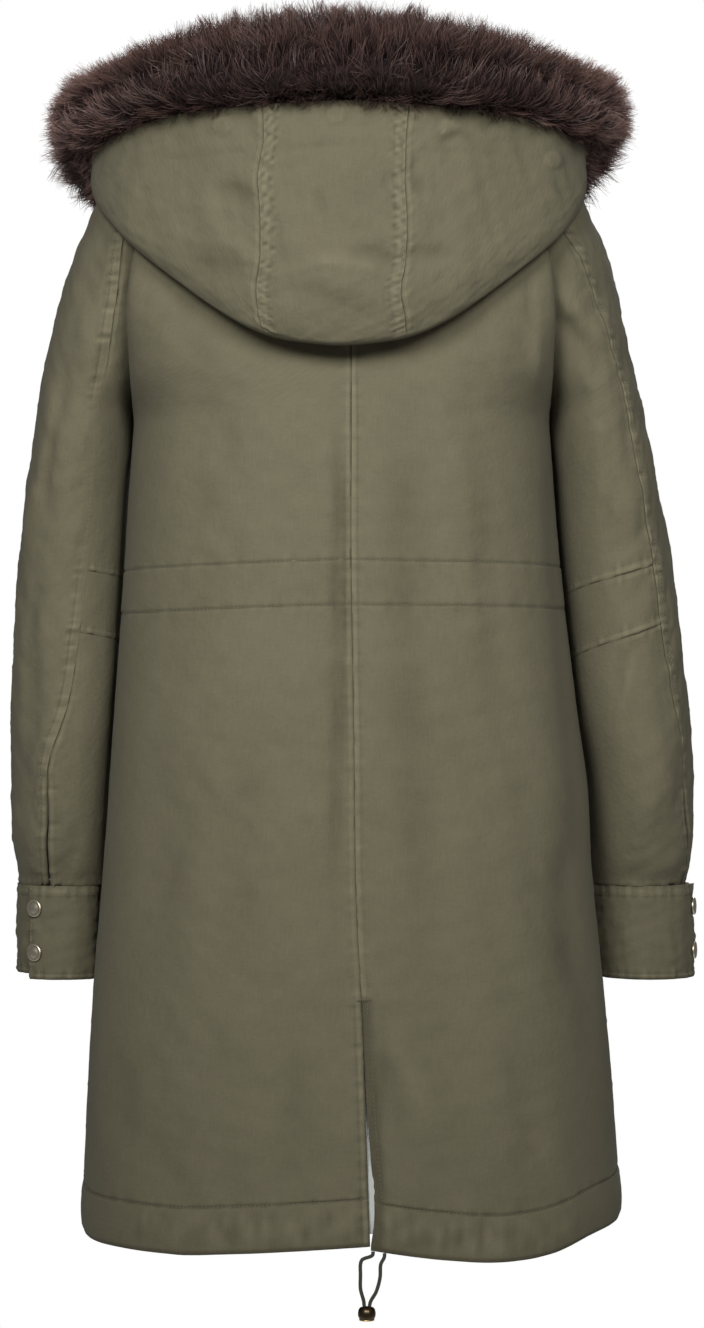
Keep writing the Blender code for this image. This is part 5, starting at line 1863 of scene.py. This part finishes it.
def combed(turns, spins, out):
    """The way the pile lies at each root."""
    angle = np.radians(Row(COMB, np.abs(turns)).angle)[:, None]
    around = np.radians(turns)
    away = np.stack([np.sin(around), -np.cos(around), 0 * around], -1)
    up = np.array((0, 0, 1.0))
    lies = away * np.cos(angle) + up * np.sin(angle)
    under = (1 - ramp(spins, -1.55, -1.0))[:, None]
    lies = unit(lies * (1 - under) + under * (0.6 * away - 0.5 * up))
    into = np.minimum(np.einsum("ij,ij->i", lies, out), 0)[:, None]
    return unit(unit(lies - out * into) + 0.3 * under * out)


def scatter(dice, count):
    """Roots on the core, as their turns, spins, points and normals."""
    rows = dice.uniform(0, FUR_CORE.shape[0] - 1, count * 2)
    columns = dice.uniform(0, FUR_CORE.shape[1] - 1, count * 2)
    spins = columns / (FUR_CORE.shape[1] - 1) * TURN
    spins = np.where(spins > math.pi, spins - TURN, spins)
    kept = dice.random(count * 2) < np.where(np.abs(spins) < NECK_SIDE, 0.62, 0.25)
    rows, columns, spins = rows[kept][:count], columns[kept][:count], spins[kept][:count]
    turns = -HOOD_END + rows / (FUR_CORE.shape[0] - 1) * 2 * HOOD_END
    return turns, spins, *on_core(rows, columns)


print("the core's grid:", FUR_CORE.shape[:2])

# %% [markdown]
# ## Hairs
# Pile has two kinds of hair: long guard hairs, and a dense undercoat. Every hair is a narrow
# ribbon with three or four stations that starts upright and leans over the way the pile is combed.
# It grows no longer than it takes to bring its tip out to about the pile's outline. Neighbours
# stick together at their tips, which makes tufts with dark gaps between them. So some roots are
# picked as tuft centres, and each hair's tip is pulled towards the nearest one.

# %% Hairs
HAIR_LONGEST, HAIR_LOWEST = 30.0, 6.5
TIPS_PAST = 3.0  # a hair may be this much longer than the pile is deep, because it bends
LEAST_RISE = 0.36  # the least that a hair stands up, as a share of its length
CLUMPS = 2800


def lie_of(dice, root, turns, spins, out, seed, spread_out):
    """The way each hair lies over: combed, with some swirl, but never into the core."""
    swirl = np.stack([swells(root, 26, seed + i) for i in range(1, 4)], -1)
    lies = combed(turns, spins, out) + 0.42 * swirl
    lies = unit(lies + spread_out * dice.normal(size=root.shape))
    rises = np.maximum(np.einsum("ij,ij->i", lies, out), 0.0)[:, None]
    return unit(lies + out * np.maximum(LEAST_RISE - rises, 0))


def nearest_clump(dice, root):
    """For each root, which root is its tuft's centre, and the tuft's own number."""
    picks = dice.choice(len(root), CLUMPS, replace=False)
    centres = KDTree(CLUMPS)
    for spot, pick in enumerate(picks):
        centres.insert(root[pick], spot)
    centres.balance()
    nearest = np.array([picks[centres.find(Vector(place))[1]] for place in root])
    return nearest, np.searchsorted(np.sort(picks), nearest)


def grow_hairs(count, seed, stations, reach, even, width, clump, spread_out):
    """Ribbons as points (hair, station, side), with their values along and tone; the tone of hairs at
    the band's sides is raised as a painted sheen. even is the shortest hair's share of the longest."""
    dice = np.random.default_rng(seed)
    turns, spins, root, out = scatter(dice, count)
    lies = lie_of(dice, root, turns, spins, out, seed, spread_out)
    rises = np.einsum("ij,ij->i", lies, out)
    tufts = 1 + 0.16 * swells(root, 14, seed + 9)
    tall = core_depth(turns, spins) - Row(SPARE, np.abs(turns)).spare + TIPS_PAST
    most = np.maximum(tall, HAIR_LOWEST) / np.maximum(rises, 0.2) * tufts
    length = np.minimum(HAIR_LONGEST * dice.uniform(0.85, 1.1, len(root)), most) * reach
    length = (length * dice.uniform(even, 1.03, len(root)))[:, None]
    upright = unit(out + 0.7 * lies)
    tip = root + (upright * 0.35 + lies * 0.65) * length
    nearest, tuft = nearest_clump(dice, root)
    pull = clump * dice.uniform(0.5, 1.2, len(root))[:, None]
    tip += (tip[nearest] - tip - 0.35 * (root[nearest] - root)) * pull
    tip += dice.normal(size=tip.shape) * 0.7
    middle = root + upright * 0.42 * length + 0.25 * pull * (root[nearest] - root)
    t = np.linspace(0, 1, stations)[None, :, None]
    line = root[:, None] * (1 - t) ** 2 + middle[:, None] * (2 * t * (1 - t)) + tip[:, None] * t**2
    across = unit(np.cross(tip - root, dice.normal(size=root.shape)))[:, None]
    half = width / 2 * (1 - 0.72 * t**2) * dice.uniform(0.7, 1.25, len(root))[:, None, None]
    ribbons = np.stack([line - across * half, line + across * half], 2)
    hue = dice.random(CLUMPS)[tuft]
    # Hairs at the band's sides are painted lighter, a painted sheen; the rest of their tone differs at
    # random by tuft and hair.
    sheen_at_sides = ramp(np.abs(turns), 34, 84)
    tone_and_sheen = np.clip(0.30 * hue + 0.34 * dice.random(len(root)) + 0.60 * sheen_at_sides - 0.11, 0, 1)
    return ribbons, np.broadcast_to(t[..., 0], line.shape[:2]), tone_and_sheen


def add_hairs(name, ribbons, share, tone_and_sheen):
    """One mesh from ribbons, with its colour values as attributes and as a map for baking."""
    hairs, stations = ribbons.shape[:2]
    first = np.arange(hairs)[:, None] * stations * 2
    steps = np.arange(stations - 1) * 2
    low = (first + steps).ravel()
    faces = np.stack([low, low + 1, low + 3, low + 2], -1)
    along_each = np.repeat(share.reshape(-1), 2)
    tone_and_sheen_each = np.repeat(tone_and_sheen, stations * 2)
    values = [("along", along_each), ("tone_and_sheen", tone_and_sheen_each)]
    made = add_mesh(name, ribbons.reshape(-1, 3), [faces], hair_finish, values, angle=180)
    layer = made.data.uv_layers.new(name="OFBake")
    place = np.stack([tone_and_sheen_each, along_each], -1)[faces.ravel()]
    layer.data.foreach_set("uv", place.astype(np.float32).ravel())
    own(made, ["fur_trim"])
    print(name, hairs, "hairs")


HAIRS = (
    "count seed stations reach even width clump spread_out",
    (28000, 201, 4, 1.0, 0.84, 0.50, 0.52, 0.14),
    (28000, 301, 4, 1.0, 0.80, 0.48, 0.45, 0.18),
    (42000, 401, 3, 0.80, 0.70, 0.58, 0.35, 0.28),
)
for number, settings in enumerate(HAIRS[1:], 1):
    add_hairs(f"trim_hair_{number}", *grow_hairs(*settings))

# %% [markdown]
# ## Snaps and the cord's end
# Both are turned on a lathe, so a profile of radius and height describes them, with the wear at
# each point of it. A snap cap is a shallow dome with a rolled rim. The cord's end is a small bell,
# worn bright along its lower rim.

# %% Turned pieces
SNAP_CAP = (
    "radius height wear",
    (5.9, 0.0, 0.2),
    (6.9, 0.15, 0.3),
    (7.15, 0.7, 0.6),
    (7.1, 1.3, 0.9),
    (6.6, 1.85, 1.0),
    (5.9, 1.95, 0.8),
    (5.4, 1.7, 0.3),
    (4.9, 1.75, 0.4),
    (3.6, 2.35, 0.7),
    (1.9, 2.75, 0.8),
    (0.5, 2.9, 0.8),
)
BELL = (
    "radius height wear",
    (4.6, 0.2, 0.9),
    (5.5, 0.0, 1.0),
    (5.9, 0.5, 0.9),
    (5.6, 1.2, 0.3),
    (6.2, 2.2, 0.15),
    (6.7, 3.9, 0.1),
    (6.7, 6.2, 0.1),
    (6.2, 8.4, 0.1),
    (5.2, 9.7, 0.2),
    (3.6, 10.3, 0.3),
    (2.6, 10.4, 0.1),
)


def turned(name, profile, base, axis, finish, sides=48):
    """A turned piece from (radius, height, wear) rows along its axis."""
    axis = unit(np.array(axis, float))
    first = unit(np.cross(axis, (0, 0, 1) if abs(axis[2]) < 0.9 else (1, 0, 0)))
    second = np.cross(axis, first)
    angles = np.arange(sides)[:, None] * TURN / sides
    ring = np.cos(angles) * first + np.sin(angles) * second
    points = np.concatenate([base + r * ring + h * axis for r, h, _ in profile[1:]])
    faces = tube_faces(len(profile) - 1, sides)
    wear = np.repeat([row[2] for row in profile[1:]], sides)
    return add_mesh(name, points, faces, finish, [("wear", wear)], angle=60)


print("profile rows:", len(SNAP_CAP) - 1, "of a snap cap and", len(BELL) - 1, "of the bell")

# %% [markdown]
# ## Setting the snaps and the bell
# A snap's centre and axis come from its solid. The axis is the direction in which the solid is
# thinnest, and points away from the middle of the body or of the sleeve that it sits on.

# %% Snaps and bell
ARM_X, ARM_Y = 230, 60


def add_snaps():
    words = [f"front_snap_{number}" for number in (1, 2, 3, 4)]
    words += [f"cuff_snap_{arm}_{number}" for arm in ("left", "right") for number in (1, 2)]
    for word in words:
        corners = np.array([corner.co for corner in bpy.data.objects[word].data.vertices]) / MM
        middle = corners.mean(0)
        axis = np.linalg.svd(corners - middle)[2][2]
        arm = -1 if "left" in word else 1 if "right" in word else 0
        axis *= np.sign(axis @ (middle - (arm * ARM_X, abs(arm) * ARM_Y, middle[2])))
        heights = (corners - middle) @ axis
        base = middle + axis * heights.min()
        own(turned(f"{word}_cap", SNAP_CAP, base, axis, snap_finish), [word])
    print(len(words), "snaps")


add_snaps()
low, high = (np.array(corner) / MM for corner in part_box("cord_end"))
bell_foot = np.array(((low[0] + high[0]) / 2, (low[1] + high[1]) / 2, low[2]))
bell = turned("cord_bell", BELL, bell_foot, (0, 0, 1), end_finish)
own(bell, ["cord_end"])
print("bell foot at", bell_foot.round(1), "mm")

# %% [markdown]
# ## The drawcord's ends
# The hem's elastic cord comes out of the right tail's corner in two strands, which hang into the
# metal end. Each strand is a tube along a short list of given points.

# %% Cords
CORD_RADIUS, CORD_Y = 1.4, -173.0
CORD_EXITS = (1.6, 10.5)  # distances from the vent's edge
STRANDS = {
    "left": ("x z", (15.8, -877), (14.8, -888), (14.9, -899), (17.4, -909), (17.6, -911.6)),
    "right": ("x z", (30.2, -880), (29.6, -890), (26.6, -901), (22.2, -909), (21.6, -911.6)),
}


def hem_exit(distance):
    """A point just under the right tail's hem, in the middle of its cloth."""
    heights, shares = (HEM, HEM + 4, HEM + 8), np.linspace(0, 1, 201)
    grid, across = body_grid("back", "right", heights, shares, vent_open)
    out = normals(grid, 1)
    grid = grid + out * fold_depth("back", across, np.array(heights)[:, None])[..., None]
    run = along(grid[0])
    centre = grid[0] - out[0] * (SET_IN + CLOTH / 2)
    return at_places(distance, run, centre) - (0, 0, 0.3)


def add_cord(side, distance, sides=16, rings=90):
    leaves = hem_exit(distance)
    hangs = [(x, CORD_Y, z) for x, z in STRANDS[side][1:]]
    route = np.array([leaves, leaves - (0, 0, CORD_RADIUS), *hangs])
    run = along(route)
    path = smooth(np.linspace(0, run[-1], rings), run, route)
    way = unit(np.gradient(path, axis=0))
    first = unit(np.cross(way, (0, 1.0, 0)))
    second = np.cross(way, first)
    angle = np.linspace(0, TURN, sides + 1)[None, :, None]
    tube = path[:, None] + CORD_RADIUS * (np.cos(angle) * first[:, None] + np.sin(angle) * second[:, None])
    weave = np.stack(np.broadcast_arrays(angle[..., 0] * CORD_RADIUS, along(path)[:, None]), -1) * MM
    faces = [grid_faces(rings, sides + 1)]
    made = add_mesh(f"drawcord_{side}", tube.reshape(-1, 3), faces, cord_finish, (), weave.reshape(-1, 2))
    own(made, [f"cord_{side}"])
    path[0] * MM
    path * MM


for side, distance in zip(("left", "right"), CORD_EXITS):
    add_cord(side, distance)

# %% [markdown]
# ## Floor, backdrop and light
# The garment hangs in front of white, half a metre above a pale floor. Two soft boxes stand left
# and right of the camera and higher than it. Their beams are narrow and aimed at the shoulders, so
# the hem is darker than the hood. A third box on the far side lights the front and the floor. The
# world is white where the camera looks and much dimmer as a light. Lengths here are in metres.

# %% Stage
FLOOR_AT, FLOOR_RADIUS = (0, 0.5, -1.42), 2.0


def add_floor():
    """A wide pale disc."""
    bpy.ops.mesh.primitive_circle_add(vertices=96, radius=FLOOR_RADIUS, fill_type="NGON", location=FLOOR_AT)
    floor = bpy.context.object
    floor.name = "floor"
    finish = Finish("pale_floor", roughness=0.9, base_color=(0.9, 0.9, 0.9, 1.0))
    floor.data.materials.append(finish.material)


def add_light(name, place, target, size, power, spread=60):
    """A round soft box that shines at a target, with a beam of some degrees."""
    data = bpy.data.lights.new(name, "AREA")
    data.shape, data.size, data.energy = "DISK", size, power
    data.spread = math.radians(spread)
    light = bpy.data.objects.new(name, data)
    light.location = place
    light.rotation_euler = (Vector(target) - Vector(place)).to_track_quat("-Z", "Y").to_euler()
    bpy.context.scene.collection.objects.link(light)


def set_world(seen, lighting):
    """White behind the garment, dimmer as a light."""
    world = bpy.data.worlds.new("studio")
    bpy.context.scene.world = world
    world.use_nodes = True
    nodes, links = world.node_tree.nodes, world.node_tree.links
    path = nodes.new("ShaderNodeLightPath")
    strength = nodes.new("ShaderNodeMapRange")
    strength.inputs["To Min"].default_value = lighting
    strength.inputs["To Max"].default_value = seen
    links.new(path.outputs["Is Camera Ray"], strength.inputs["Value"])
    links.new(strength.outputs["Result"], nodes["Background"].inputs["Strength"])
    nodes["Background"].inputs["Color"].default_value = (1, 1, 1, 1)


add_floor()
add_light("left_box", (-0.75, -2.6, 0.75), (0, 0, -0.11), 0.9, 6.7)
add_light("right_box", (0.7, -2.6, 0.7), (0, 0, -0.11), 0.9, 5.3)
add_light("rear_box", (0.5, 2.7, 1.2), (0, 0.3, -0.8), 1.2, 26.0, 130)
set_world(1.0, 0.135)
bpy.context.scene.view_settings.view_transform = "Standard"
